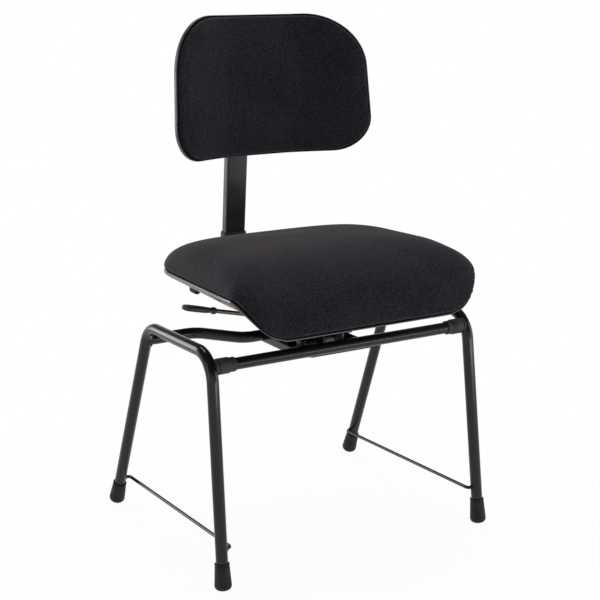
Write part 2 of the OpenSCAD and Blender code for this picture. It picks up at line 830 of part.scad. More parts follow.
// The seat's outline in plan
seat_front_y = -seat_front;
seat_rear_y = seat_len - seat_front;
seat_mid = [0, (seat_front_y + seat_rear_y) / 2];
arc_steps = 7;
edge_steps = 4;
seat_plan = rounded_outline(
    [
        [seat_front_w / 2, seat_front_y],
        [seat_rear_w / 2, seat_rear_y],
        [-seat_rear_w / 2, seat_rear_y],
        [-seat_front_w / 2, seat_front_y]
    ],
    [seat_front_r, seat_rear_r, seat_rear_r, seat_front_r], arc_steps, edge_steps);

// The rim is level across the front edge and climbs round the front corners to the sides
turn_share = 2.6;
turn_start_share = 1.6;
seat_turn = turn_share * seat_front_r;
seat_turn_start = turn_start_share * seat_front_r;
function seat_climb(p) =
    smooth((abs(p[0]) - seat_front_w / 2 + seat_turn_start + p[1] - seat_front_y) / seat_turn);
function seat_rim(p) =
    let (side_z = mix(rim_side_z, rim_rear_z, min(max((p[1] - seat_front_y) / seat_len, 0), 1)))
    mix(rim_front_z, side_z, seat_climb(p));
front_band_share = 0.5;
function seat_edge(p) = seat_rim(p) - seat_band * mix(front_band_share, 1, seat_climb(p));

// Height of the shell's underside: level over the mounting plate, then out to the edge band
flat_share = 0.5;
dish_power = 2.2;
function dish(share) = pow(max(share - flat_share, 0) / (1 - flat_share), dish_power);
function seat_under(p, share) = mix(shell_base_z, seat_edge(p), dish(share));
function spread(mid, p, share) = mid + (p - mid) * share;
function plan_ring(plan, mid, share, height) = [for (p = plan) let (q = spread(mid, p, share))
    [q[0], q[1], height(p, share)]];

// The shell draws in under the front of the cushion
front_inset_share = 0.015;
function front_part(p) = smooth((seat_mid[1] - p[1]) / (seat_mid[1] - seat_front_y) * 2 - 1);
shell_plan = [for (p = seat_plan) spread(seat_mid, p, 1 - front_inset_share * front_part(p))];

lip_share = 0.985;
shell_shares = [0.5, 0.64, 0.78, 0.9, 0.96];
shell_steps = len(shell_shares);
module seat_shell() {
    under = function (p, share) seat_under(p, share);
    inside = function (p, share) seat_under(p, share) + shell_t;
    rings = concat(
        [for (share = shell_shares) plan_ring(shell_plan, seat_mid, share, under)],
        [plan_ring(shell_plan, seat_mid, 1, function (p, share) seat_edge(p))],
        [plan_ring(shell_plan, seat_mid, 1, function (p, share) seat_rim(p))],
        [plan_ring(shell_plan, seat_mid, lip_share, function (p, share) seat_rim(p))],
        [for (i = [shell_steps - 1 : -1 : 0])
            plan_ring(shell_plan, seat_mid, shell_shares[i], inside)]);
    color("dimgray") difference() {
        ring_solid([seat_mid[0], seat_mid[1], shell_base_z], rings,
            [seat_mid[0], seat_mid[1], shell_base_z + shell_t], shell_steps + 1);
        seat_screw_places() cylinder(d = seat_screw_d + 2 * run_gap, h = 2 * board_t);
    }
}

// The board lies on the level middle of the shell
board_z = shell_base_z + shell_t;
board_w = plate_w + 2 * shell_t;
board_len = plate_len + 2 * shell_t;
module seat_board() {
    color("burlywood") difference() {
        translate([0, plate_y, board_z]) linear_extrude(board_t)
            rounded_plate(board_w, board_len, plate_corner_r);
        seat_screw_places() cylinder(d = seat_screw_d + 2 * run_gap, h = 2 * board_t);
    }
}

// The cushion lies on board and shell, hangs over the rim at the front and is crowned on top
belly = 3;
front_lap = 1;
tuck_share = 0.972;
side_tuck_share = 0.975;
front_tuck_share = 1.002;
side_round_share = 0.25;
front_round_share = 0.57;
board_share = 0.62;
crown_steps = 9;
rear_drop = 40;
rear_drop_power = 1.8;
side_drop = 4.3;
function crown_z(y) =
    seat_top_z - rear_drop * pow(max(y - seat_mid[1], 0) / (seat_rear_y - seat_mid[1]), rear_drop_power);
function crown_share(p, a) = pow(cos(a), mix(side_round_share, front_round_share, front_part(p)));
function seat_crown(p, a) =
    let (y = mix(seat_mid[1], p[1], crown_share(p, a)),
        base = seat_rim(p) + mix(belly, -front_lap, front_part(p)))
    mix(base, crown_z(y) - side_drop * pow(crown_share(p, a), 2), sin(a));
function crown_ring(a) = [for (p = seat_plan) let (q = spread(seat_mid, p, crown_share(p, a)))
    [q[0], q[1], seat_crown(p, a)]];

module seat_cushion() {
    on_board = function (p, share) board_z + board_t + seat_gap;
    on_shell = function (p, share) seat_under(p, share) + shell_t + seat_gap;
    last = shell_shares[shell_steps - 1];
    lip_slope = function (p, share)
        mix(seat_under(p, last) + shell_t, seat_rim(p), (share - last) / (lip_share - last));
    on_lip = function (p, share) max(seat_rim(p), lip_slope(p, share)) + seat_gap;
    rings = concat(
        [plan_ring(shell_plan, seat_mid, board_share, on_board)],
        [for (i = [1 : shell_steps - 1]) plan_ring(shell_plan, seat_mid, shell_shares[i], on_shell)],
        [plan_ring(shell_plan, seat_mid, tuck_share, on_lip)],
        [[for (p = shell_plan)
            let (
                share = mix(side_tuck_share, front_tuck_share, front_part(p)),
                q = spread(seat_mid, p, share)
            )
            [q[0], q[1], on_lip(p, share)]]],
        [for (i = [0 : crown_steps - 1]) crown_ring(90 * i / crown_steps)]);
    color("#2b2a2c") ring_solid([seat_mid[0], seat_mid[1], board_z + board_t + seat_gap], rings,
        [seat_mid[0], seat_mid[1], seat_top_z], shell_steps + 2);
}

// Two rubber buffers under the shell, one each side
buffer_len = 26;
buffer_w = 12;
buffer_h = 17;
buffer_y = -9;
buffer_share = 0.92;
buffer_r = 5;
module seat_buffers() {
    rim_at = seat_rim([seat_rear_w / 2, buffer_y]) - seat_band;
    side_x = mix(seat_front_w, seat_rear_w, (buffer_y - seat_front_y) / seat_len) / 2;
    color("black") for (side = [-1, 1]) mirrored(side) difference() {
        translate([side_x * buffer_share, buffer_y, rim_at - buffer_h])
            linear_extrude(buffer_h) rounded_plate(buffer_w, buffer_len, buffer_r);
        shell_space();
    }
}

// Everything over the shell's underside, used to fit the buffers to it
module shell_space() {
    rings = [
        for (share = shell_shares)
            plan_ring(shell_plan, seat_mid, share, function (p, share) seat_under(p, share)),
        plan_ring(shell_plan, seat_mid, 1, function (p, share) seat_edge(p)),
        plan_ring(shell_plan, seat_mid, 1, function (p, share) seat_top_z)
    ];
    ring_solid([seat_mid[0], seat_mid[1], shell_base_z], rings,
        [seat_mid[0], seat_mid[1], seat_top_z], shell_steps + 1);
}

// The back arm runs level from the hub and turns up behind the seat to the guide sleeve
arm_corner_y = stem_y + (stem_z - pivot_z) * tan(stem_lean);
module back_arm() {
    path = [
        [pivot_y, pivot_z],
        [arm_corner_y, pivot_z],
        [stem_y, stem_z]
    ];
    color("black") difference() {
        side_view() bent_run(path, arm_bend_r) square([arm_t + $swell, arm_w + $swell], center = true);
        across(pivot_y, pivot_z, -housing_w, housing_w) circle(d = hub_d);
        across(pivot_y, pivot_z, -lock_pack / 2, lock_pack / 2) circle(r = lock_ring_r + seat_gap);
        stem_frame() translate([-arm_w, -arm_w, 0]) cube(2 * arm_w);
    }
}

module stem_frame() {
    translate([0, stem_y, stem_z]) rotate([stem_lean, 0, 0]) children();
}

stem_corner_r = 4;
guide_spare = 2.4;
guide_h = stem_grip + stem_down + guide_wall + guide_spare;
guide_w = stem_w + 2 * guide_wall + seat_gap;
guide_t = stem_t + 2 * guide_wall + seat_gap;
knob_drop = 27;
knob_s = guide_h - knob_drop;
clamp_d = 8;

module guide_sleeve() {
    color("#1c1c1e") stem_frame() difference() {
        linear_extrude(guide_h) rounded_plate(guide_w, guide_t, stem_corner_r + guide_wall);
        translate([0, 0, guide_wall]) linear_extrude(guide_h)
            rounded_plate(stem_w + seat_gap, stem_t + seat_gap, stem_corner_r);
        translate([0, 0, knob_s]) rotate([-90, 0, 0]) cylinder(d = clamp_d + 2 * run_gap, h = guide_t);
    }
}

// The clamp screw presses on the stem through the sleeve's rear wall
clamp_from = stem_t / 2 + seat_gap / 2;
knob_neck = 3;
knob_from = guide_t / 2 + seat_gap;
module clamp_screw() {
    color("silver") stem_frame() translate([0, clamp_from, knob_s]) rotate([-90, 0, 0])
        cylinder(d = clamp_d, h = knob_from - clamp_from + knob_neck + knob_len / 2);
}

knob_lobes = 6;
lobe_d = knob_d / 4;
neck_share = 0.44;
module clamp_knob() {
    color("black") stem_frame() translate([0, knob_from, knob_s]) rotate([-90, 0, 0]) difference() {
        union() {
            cylinder(d = knob_d * neck_share, h = knob_neck + over);
            translate([0, 0, knob_neck]) linear_extrude(knob_len) {
                circle(d = knob_d - lobe_d);
                for (i = [0 : knob_lobes - 1]) rotate(360 * i / knob_lobes)
                    translate([(knob_d - lobe_d) / 2, 0]) circle(d = lobe_d);
            }
        }
        translate([0, 0, -over])
            cylinder(d = clamp_d + 2 * run_gap, h = over + knob_neck + knob_len / 2 + run_gap);
    }
}

// The stem is a flat steel bar in a moulded cover, closed at its top
bar_w = 30;
bar_t = 8;
stem_cap = 4;
stem_from = guide_h - stem_grip;

module stem_bar() {
    color("silver") stem_frame() difference() {
        translate([-bar_w / 2, -bar_t / 2, stem_from])
            cube([bar_w, bar_t, stem_top - stem_cap - stem_from]);
        head_bolt_places() cylinder(d = head_bolt_d + 2 * run_gap, h = stem_t, center = true);
    }
}

module stem_cover() {
    color("black") stem_frame() difference() {
        translate([0, 0, stem_from]) linear_extrude(stem_top - stem_from)
            rounded_plate(stem_w, stem_t, stem_corner_r);
        translate([0, 0, stem_from - over]) linear_extrude(stem_top - stem_cap - stem_from + over)
            square([bar_w + 2 * run_gap, bar_t + 2 * run_gap], center = true);
        head_bolt_places() cylinder(d = head_bolt_d + 2 * run_gap, h = stem_t, center = true);
    }
}

// The backrest's own frame: X across, Y up along it, Z forward, from the rim's middle
module back_frame() {
    translate([0, back_y, back_z]) rotate([-back_lean, 0, 0]) rotate([90, 0, 0]) children();
}

// The hinge between stem and backrest lies behind the shell's level middle
bracket_t = 3;
bracket_w = 70;
bracket_h = 60;
hinge_d = 8;
hinge_back = 12;
head_w = 24;
hinge_y = back_y + (back_depth + bracket_t + hinge_back) * cos(back_lean);
hinge_z = back_z - (back_depth + bracket_t + hinge_back) * sin(back_lean);
ear_w = 4;
ear_spare = 1;
hinge_ear_r = hinge_back - ear_spare;

module pad_bracket() {
    color("black") back_frame() translate([0, 0, -back_depth - bracket_t]) difference() {
        union() {
            linear_extrude(bracket_t) rounded_plate(bracket_w, bracket_h, bracket_t);
            for (side = [-1, 1])
                translate([side * (head_w + ear_w + 2 * seat_gap) / 2, 0, 0]) hinge_ear();
        }
        translate([0, 0, -hinge_back]) rotate([0, 90, 0])
            cylinder(d = hinge_d, h = bracket_w, center = true);
        back_screw_places() cylinder(d = back_screw_d + 2 * run_gap, h = bracket_w, center = true);
    }
}

module hinge_ear() {
    translate([0, 0, -hinge_back]) rotate([0, 90, 0]) cylinder(r = hinge_ear_r, h = ear_w, center = true);
    translate([-ear_w / 2, -hinge_ear_r, -hinge_back]) cube([ear_w, 2 * hinge_ear_r, hinge_back + over]);
}

module pad_hinge_pin() {
    half = head_w / 2 + 2 * ear_w;
    color("silver") across(hinge_y, hinge_z, -half, half) circle(d = hinge_d);
}

// The stem's head reaches forward to the hinge and is bolted through the stem
head_bolt_d = 6;
head_bolt_gap = 26;
head_base_t = 4;
head_h = 46;
hinge_s = (hinge_z - stem_z) * cos(stem_lean) - (hinge_y - stem_y) * sin(stem_lean);
hinge_t = (hinge_z - stem_z) * sin(stem_lean) + (hinge_y - stem_y) * cos(stem_lean);
head_reach = -hinge_t - stem_t / 2;

module head_bolt_places() {
    for (s = [-head_bolt_gap / 2, head_bolt_gap / 2])
        translate([0, 0, hinge_s + s]) rotate([90, 0, 0]) children();
}

module stem_head() {
    color("black") stem_frame() difference() {
        union() {
            translate([-head_w / 2, -stem_t / 2 - head_base_t, hinge_s - head_h / 2])
                cube([head_w, head_base_t, head_h]);
            translate([-head_w / 2, hinge_t, hinge_s - hinge_d])
                cube([head_w, head_reach - over, 2 * hinge_d]);
            translate([-head_w / 2, hinge_t, hinge_s]) rotate([0, 90, 0])
                cylinder(r = hinge_d, h = head_w);
            head_bolt_places() cylinder(d = head_bolt_d, h = stem_t + over, center = true);
        }
        translate([-head_w, hinge_t, hinge_s]) rotate([0, 90, 0])
            cylinder(d = hinge_d + 2 * run_gap, h = 2 * head_w);
    }
}

// The backrest's outline, seen from the front. Its middle is flat, and its sides wrap forward.
back_plan = rounded_outline(
    [
        [back_w / 2, -back_h / 2],
        [back_top_w / 2, back_h / 2],
        [-back_top_w / 2, back_h / 2],
        [-back_w / 2, -back_h / 2]
    ],
    [back_r, back_top_r, back_top_r, back_r], arc_steps, edge_steps);
back_flat_w_share = 0.25;
wrap_flat = back_flat_w_share * back_w / 2;
wrap_power = 1.42;
function wrap(x) = back_wrap * pow(max(abs(x) - wrap_flat, 0) / (back_w / 2 - wrap_flat), wrap_power);
back_flat_share = 0.4;
function back_under(share) = mix(-back_depth, -back_band,
    pow(max(share - back_flat_share, 0) / (1 - back_flat_share), dish_power));
function back_ring(share, z) = [for (p = back_plan) [p[0] * share, p[1] * share, z + wrap(p[0] * share)]];

back_shares = [back_flat_w_share, 0.3, 0.4, 0.55, 0.7, 0.85, 0.95];
back_steps = len(back_shares);
module backrest_shell() {
    rings = concat(
        [for (share = back_shares) back_ring(share, back_under(share))],
        [back_ring(1, -back_band)],
        [back_ring(1, 0)],
        [back_ring(lip_share, 0)],
        [for (i = [back_steps - 1 : -1 : 0])
            back_ring(back_shares[i], back_under(back_shares[i]) + shell_t)]);
    color("dimgray") back_frame() difference() {
        ring_solid([0, 0, -back_depth], rings, [0, 0, -back_depth + shell_t], back_steps + 1);
        back_screw_places() cylinder(d = back_screw_d + 2 * run_gap, h = 2 * back_depth, center = true);
    }
}

back_screw_d = 5;
back_screw_x = 25;
back_screw_y = 22;
back_board_w = 72;
back_board_h = 86;
module back_screw_places() {
    for (x = [-back_screw_x, back_screw_x], y = [-back_screw_y, back_screw_y])
        translate([x, y, 0]) children();
}

module backrest_board() {
    color("burlywood") back_frame() translate([0, 0, -back_depth + shell_t]) difference() {
        linear_extrude(back_board_t) rounded_plate(back_board_w, back_board_h, plate_corner_r);
        back_screw_places() cylinder(d = back_screw_d + 2 * run_gap, h = back_depth, center = true);
    }
}

module backrest_screws() {
    color("silver") back_frame() translate([0, 0, -back_depth - bracket_t]) back_screw_places() {
        cylinder(d = back_screw_d, h = bracket_t + shell_t + back_board_t - screw_tip);
        translate([0, 0, -back_screw_d / 2]) cylinder(d = 2 * back_screw_d, h = back_screw_d / 2);
    }
}

back_round_share = 0.3;
back_board_share = 0.53;
back_pad_from = 3;
back_belly = 3;
function back_crown_share(a) = pow(cos(a), back_round_share);
module backrest_cushion() {
    on_board = -back_depth + shell_t + back_board_t + seat_gap;
    rings = concat(
        [back_ring(back_board_share, on_board)],
        [for (i = [back_pad_from : back_steps - 1])
            back_ring(back_shares[i], back_under(back_shares[i]) + shell_t + seat_gap)],
        [back_ring(tuck_share, seat_gap)],
        [for (i = [0 : crown_steps - 1]) let (a = 90 * i / crown_steps)
            back_ring(back_crown_share(a), mix(back_belly, back_crown, sin(a)))]);
    color("#232327") back_frame() ring_solid([0, 0, on_board], rings, [0, 0, back_crown],
        back_steps - back_pad_from + 2);
}

side_frame(-1);  // right_side_frame
side_frame(1);  // left_side_frame
front_crossbar();
crossbar_sleeve(-1);  // right_crossbar_sleeve
crossbar_sleeve(1);  // left_crossbar_sleeve
rear_cross_tube();
tie_rod(-1);  // right_tie_rod
tie_rod(1);  // left_tie_rod
foot(-1, front_foot_y, front_splay, front_dir);  // right_front_foot
foot(1, front_foot_y, front_splay, front_dir);  // left_front_foot
foot(-1, rear_foot_y, rear_rake, rear_dir);  // right_rear_foot
foot(1, rear_foot_y, rear_rake, rear_dir);  // left_rear_foot
seat_carrier();
carrier_spacers();
carrier_bolts();
carrier_nuts();
mechanism_housing();
seat_mounting_plate();
pivot_bushes();
pivot_shaft();
shaft_clips();
fixed_lock_plates();
lock_bolt();
lever_bracket();
lever_pin();
lever_rod();
lever_grip();
seat_shell();
seat_board();
seat_cushion();
seat_screws();
seat_buffers();
back_arm();
pivot_hub();
tilt_springs();
arm_lock_plates();
guide_sleeve();
clamp_screw();
clamp_knob();
stem_bar();
stem_cover();
stem_head();
pad_bracket();
pad_hinge_pin();
backrest_shell();
backrest_board();
backrest_cushion();
backrest_screws();
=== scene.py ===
"""Looks of a choir chair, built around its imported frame.

Lengths in the drawing code are in millimetres, and those given to materials and cloth in metres.
"""

import json
import math

import bmesh
import bpy
import numpy as np
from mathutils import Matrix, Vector, noise
from mathutils.bvhtree import BVHTree


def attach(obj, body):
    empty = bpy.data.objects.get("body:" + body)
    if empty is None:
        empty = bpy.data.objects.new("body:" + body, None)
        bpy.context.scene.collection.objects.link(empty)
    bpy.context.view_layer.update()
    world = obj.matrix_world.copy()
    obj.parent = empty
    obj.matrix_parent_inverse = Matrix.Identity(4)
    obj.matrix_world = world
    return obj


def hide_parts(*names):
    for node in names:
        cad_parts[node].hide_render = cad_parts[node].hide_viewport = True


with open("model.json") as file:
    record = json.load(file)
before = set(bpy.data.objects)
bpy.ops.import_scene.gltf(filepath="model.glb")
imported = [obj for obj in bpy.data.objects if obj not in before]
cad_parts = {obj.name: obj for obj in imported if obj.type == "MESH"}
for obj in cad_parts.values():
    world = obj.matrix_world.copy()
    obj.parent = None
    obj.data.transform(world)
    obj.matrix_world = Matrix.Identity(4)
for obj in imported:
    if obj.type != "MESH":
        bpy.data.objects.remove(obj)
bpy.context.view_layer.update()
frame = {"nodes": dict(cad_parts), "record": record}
nodes = frame["nodes"]
scene = bpy.context.scene
MM = 0.001


# Camera, world and light
def look(location, target):
    return (Vector(target) - Vector(location)).to_track_quat("-Z", "Y").to_euler()


# The photograph's view: place in metres, angles in degrees, sensor and lens in millimetres
CAMERA_PLACE = (-1.1629, -1.9477, 0.9738)
CAMERA_DOWN, CAMERA_TURN = 14.149, -31.132
CAMERA_SENSOR, CAMERA_LENS = 36.0, 79.2

camera_data = bpy.data.cameras.new("camera")
camera_data.sensor_width = CAMERA_SENSOR
camera_data.lens = CAMERA_LENS
camera_data.clip_start = 0.05
camera_data.clip_end = 60.0
camera = bpy.data.objects.new("camera", camera_data)
camera.location = CAMERA_PLACE
camera.rotation_euler = (math.radians(90 - CAMERA_DOWN), 0.0, math.radians(CAMERA_TURN))
scene.collection.objects.link(camera)
scene.camera = camera
scene.view_settings.view_transform = "Standard"


def new_tree(name):
    mat = bpy.data.materials.new(name)
    mat.use_nodes = True
    mat.node_tree.nodes.clear()
    return mat, mat.node_tree


def add(tree, kind, **values):
    n = tree.nodes.new(kind)
    for key, value in values.items():
        if key.startswith("in_"):
            n.inputs[key[3:].replace("_", " ")].default_value = value
        else:
            setattr(n, key, value)
    return n


def seen_directly(tree):
    """1 for rays from the camera and for those mirrored or passed on by the object's surfaces."""
    path = add(tree, "ShaderNodeLightPath")
    first = add(tree, "ShaderNodeMath", operation="MAXIMUM")
    last = add(tree, "ShaderNodeMath", operation="MAXIMUM")
    tree.links.new(path.outputs["Is Camera Ray"], first.inputs[0])
    tree.links.new(path.outputs["Is Glossy Ray"], first.inputs[1])
    tree.links.new(first.outputs[0], last.inputs[0])
    tree.links.new(path.outputs["Is Transmission Ray"], last.inputs[1])
    return last.outputs[0]


def spread_of(tree, value, low, high, low_at=0.0, high_at=1.0):
    """value remapped from low_at..high_at to low..high."""
    n = add(tree, "ShaderNodeMapRange")
    tree.links.new(value, n.inputs["Value"])
    n.inputs["From Min"].default_value = low_at
    n.inputs["From Max"].default_value = high_at
    n.inputs["To Min"].default_value = low
    n.inputs["To Max"].default_value = high
    return n.outputs[0]


WORLD_LIGHT = 0.34
OVERHEAD_LIGHT, OVERHEAD_SPAN = 0.12, (0.12, 0.5)


def build_world():
    world = bpy.data.worlds.new("studio")
    scene.world = world
    world.use_nodes = True
    tree = world.node_tree
    tree.nodes.clear()
    light = add(tree, "ShaderNodeBackground", in_Color=(0.98, 0.98, 1.0, 1), in_Strength=WORLD_LIGHT)
    shown = add(tree, "ShaderNodeBackground", in_Color=(1, 1, 1, 1))
    either = add(tree, "ShaderNodeMixShader")
    out = add(tree, "ShaderNodeOutputWorld")
    tree.links.new(seen_directly(tree), either.inputs["Fac"])
    # Reflections see a studio that is white at eye level and darker overhead
    coords = add(tree, "ShaderNodeTexCoord")
    split = add(tree, "ShaderNodeSeparateXYZ")
    tree.links.new(coords.outputs["Generated"], split.inputs[0])
    overhead = spread_of(tree, split.outputs["Z"], 1.0, OVERHEAD_LIGHT, *OVERHEAD_SPAN)
    path = add(tree, "ShaderNodeLightPath")
    strength = add(tree, "ShaderNodeMath", operation="MAXIMUM")
    tree.links.new(overhead, strength.inputs[0])
    tree.links.new(path.outputs["Is Camera Ray"], strength.inputs[1])
    tree.links.new(strength.outputs[0], shown.inputs["Strength"])
    tree.links.new(light.outputs[0], either.inputs[1])
    tree.links.new(shown.outputs[0], either.inputs[2])
    tree.links.new(either.outputs[0], out.inputs["Surface"])


def area_light(name, location, target, size, power, colour=(1, 1, 1)):
    data = bpy.data.lights.new(name, "AREA")
    data.shape = "RECTANGLE"
    data.size, data.size_y = size
    data.energy = power
    data.color = colour
    ob = bpy.data.objects.new(name, data)
    ob.location = location
    ob.rotation_euler = look(location, target)
    scene.collection.objects.link(ob)


FLOOR_HALF = 12.0
NEAR_WHITE, WHITE_SPAN = 0.965, (0.3, 0.7)


def build_floor():
    mat, tree = new_tree("floor_paper")
    paper = add(tree, "ShaderNodeBsdfDiffuse", in_Color=(0.9, 0.9, 0.9, 1))
    grain = add(tree, "ShaderNodeTexNoise", in_Scale=60.0, in_Detail=4.0)
    coords = add(tree, "ShaderNodeTexCoord")
    bump = add(tree, "ShaderNodeBump", in_Strength=0.03, in_Distance=0.002)
    white = add(tree, "ShaderNodeEmission", in_Color=(1, 1, 1, 1), in_Strength=1.0)
    # Far from the object the floor is plain white, and near it the shadow shows
    far = add(tree, "ShaderNodeVectorMath", operation="LENGTH")
    tree.links.new(coords.outputs["Object"], far.inputs[0])
    share = add(tree, "ShaderNodeMath", operation="MULTIPLY")
    tree.links.new(spread_of(tree, far.outputs["Value"], NEAR_WHITE, 1.0, *WHITE_SPAN), share.inputs[1])
    either = add(tree, "ShaderNodeMixShader")
    out = add(tree, "ShaderNodeOutputMaterial")
    tree.links.new(coords.outputs["Object"], grain.inputs["Vector"])
    tree.links.new(grain.outputs["Fac"], bump.inputs["Height"])
    tree.links.new(bump.outputs[0], paper.inputs["Normal"])
    tree.links.new(seen_directly(tree), share.inputs[0])
    tree.links.new(share.outputs[0], either.inputs["Fac"])
    tree.links.new(paper.outputs[0], either.inputs[1])
    tree.links.new(white.outputs[0], either.inputs[2])
    tree.links.new(either.outputs[0], out.inputs["Surface"])
    me = bpy.data.meshes.new("floor")
    half = FLOOR_HALF
    corners = [(-half, -half, 0), (half, -half, 0), (half, half, 0), (-half, half, 0)]
    me.from_pydata(corners, [], [(0, 1, 2, 3)])
    floor = bpy.data.objects.new("floor", me)
    scene.collection.objects.link(floor)
    me.materials.append(mat)


build_world()
build_floor()
area_light("top_softbox", (0.2, 0.9, 2.4), (0, 0, 0.45), (1.0, 1.0), 16, (1.0, 0.97, 0.97))
area_light("rear_left_panel", (-1.55, 2.3, 0.95), (0, 0, 0.42), (0.8, 1.8), 23, (1.0, 0.97, 0.92))
area_light("left_panel", (-2.5, -0.1, 1.0), (0, 0, 0.45), (0.4, 1.7), 5, (0.94, 0.97, 1.0))
area_light("right_strip", (2.1, -1.4, 0.95), (0, 0, 0.45), (0.3, 1.8), 12, (0.96, 0.98, 1.0))
area_light("low_strip", (1.0, -2.1, 0.15), (0, -0.2, 0.36), (1.6, 0.1), 6, (0.97, 0.98, 1.0))


# Materials
NOISE_SPAN = (0.3, 0.7)  # where most of a noise's values lie
YARN_SHARE, CLOUD_SHARE = 0.8, 0.2


def surface(name, colour, rough, metallic=0.0, specular=0.5, sheen=0.0, sheen_rough=0.4,
            sheen_tint=(1, 1, 1)):
    """A principled material, and the object's own coordinates for the noise that is laid over it."""
    mat, tree = new_tree(name)
    shader = add(tree, "ShaderNodeBsdfPrincipled")
    shader.inputs["Base Color"].default_value = (*colour, 1)
    shader.inputs["Roughness"].default_value = rough
    shader.inputs["Metallic"].default_value = metallic
    shader.inputs["Specular IOR Level"].default_value = specular
    shader.inputs["Sheen Weight"].default_value = sheen
    shader.inputs["Sheen Roughness"].default_value = sheen_rough
    shader.inputs["Sheen Tint"].default_value = (*sheen_tint, 1)
    out = add(tree, "ShaderNodeOutputMaterial")
    tree.links.new(shader.outputs[0], out.inputs["Surface"])
    coords = add(tree, "ShaderNodeTexCoord")
    return mat, tree, shader, coords.outputs["Object"]


def noise_at(tree, at, scale, detail=3.0, rough=0.55, stretch=None):
    if stretch:
        mapping = add(tree, "ShaderNodeMapping")
        mapping.inputs["Scale"].default_value = stretch
        tree.links.new(at, mapping.inputs["Vector"])
        at = mapping.outputs[0]
    tex = add(tree, "ShaderNodeTexNoise", in_Scale=scale, in_Detail=detail, in_Roughness=rough)
    tree.links.new(at, tex.inputs["Vector"])
    return tex.outputs["Fac"]


def colours_by(tree, value, low, high, low_at=NOISE_SPAN[0], high_at=NOISE_SPAN[1]):
    ramp = add(tree, "ShaderNodeValToRGB")
    ramp.color_ramp.elements[0].position = low_at
    ramp.color_ramp.elements[0].color = (*low, 1)
    ramp.color_ramp.elements[1].position = high_at
    ramp.color_ramp.elements[1].color = (*high, 1)
    tree.links.new(value, ramp.inputs["Fac"])
    return ramp.outputs["Color"]


def bumps(tree, shader, *layers):
    """layers of (height value, strength, distance in metres), chained into the shader's normal."""
    last = None
    for value, strength, distance in layers:
        bump = add(tree, "ShaderNodeBump", in_Strength=strength, in_Distance=distance)
        tree.links.new(value, bump.inputs["Height"])
        if last is not None:
            tree.links.new(last, bump.inputs["Normal"])
        last = bump.outputs[0]
    tree.links.new(last, shader.inputs["Normal"])


def make_black_paint():
    mat, tree, shader, at = surface("black_gloss_paint", (0.004, 0.004, 0.0045), 0.2, specular=0.35)
    patches = noise_at(tree, at, 9.0, 4.0)
    tree.links.new(spread_of(tree, patches, 0.14, 0.24, *NOISE_SPAN), shader.inputs["Roughness"])
    colour = colours_by(tree, patches, (0.003, 0.003, 0.0034), (0.0055, 0.0055, 0.006))
    tree.links.new(colour, shader.inputs["Base Color"])
    peel = noise_at(tree, at, 420.0, 2.0)
    specks = noise_at(tree, at, 1900.0, 1.0)
    bumps(tree, shader, (peel, 0.05, 0.0004), (specks, 0.03, 0.0001))
    return mat


def make_moulded(name, colour, rough, scale=2600.0, depth=0.00012, strength=0.35):
    """Matt plastic with a fine eroded mould texture and patches of varied gloss."""
    mat, tree, shader, at = surface(name, colour, rough, specular=0.45)
    fine = noise_at(tree, at, scale, 2.0)
    broad = noise_at(tree, at, 35.0, 4.0)
    gloss = spread_of(tree, broad, rough - 0.06, rough + 0.08, *NOISE_SPAN)
    tree.links.new(gloss, shader.inputs["Roughness"])
    light = tuple(min(1.0, c * 1.5 + 0.002) for c in colour)
    tree.links.new(colours_by(tree, broad, colour, light), shader.inputs["Base Color"])
    bumps(tree, shader, (fine, strength, depth), (broad, 0.05, 0.0006))
    return mat


def make_shell_plastic(name, specular, rough):
    mat, tree, shader, at = surface(name, (0.034, 0.033, 0.03), rough, specular=specular)
    broad = noise_at(tree, at, 14.0, 4.0)
    fine = noise_at(tree, at, 1800.0, 2.0)
    gloss = spread_of(tree, broad, rough - 0.04, rough + 0.07, *NOISE_SPAN)
    tree.links.new(gloss, shader.inputs["Roughness"])
    colour = colours_by(tree, broad, (0.028, 0.027, 0.025), (0.042, 0.0405, 0.037))
    tree.links.new(colour, shader.inputs["Base Color"])
    bumps(tree, shader, (fine, 0.15, 0.00008), (broad, 0.04, 0.0008))
    return mat


def make_rubber():
    mat, tree, shader, at = surface("foot_rubber", (0.009, 0.009, 0.0095), 0.62, specular=0.3)
    broad = noise_at(tree, at, 60.0, 5.0)
    dust = noise_at(tree, at, 700.0, 3.0)
    tree.links.new(spread_of(tree, broad, 0.5, 0.75, *NOISE_SPAN), shader.inputs["Roughness"])
    colour = colours_by(tree, dust, (0.006, 0.006, 0.0064), (0.015, 0.015, 0.0155), 0.35, 0.75)
    tree.links.new(colour, shader.inputs["Base Color"])
    bumps(tree, shader, (dust, 0.25, 0.0002), (broad, 0.1, 0.0005))
    return mat


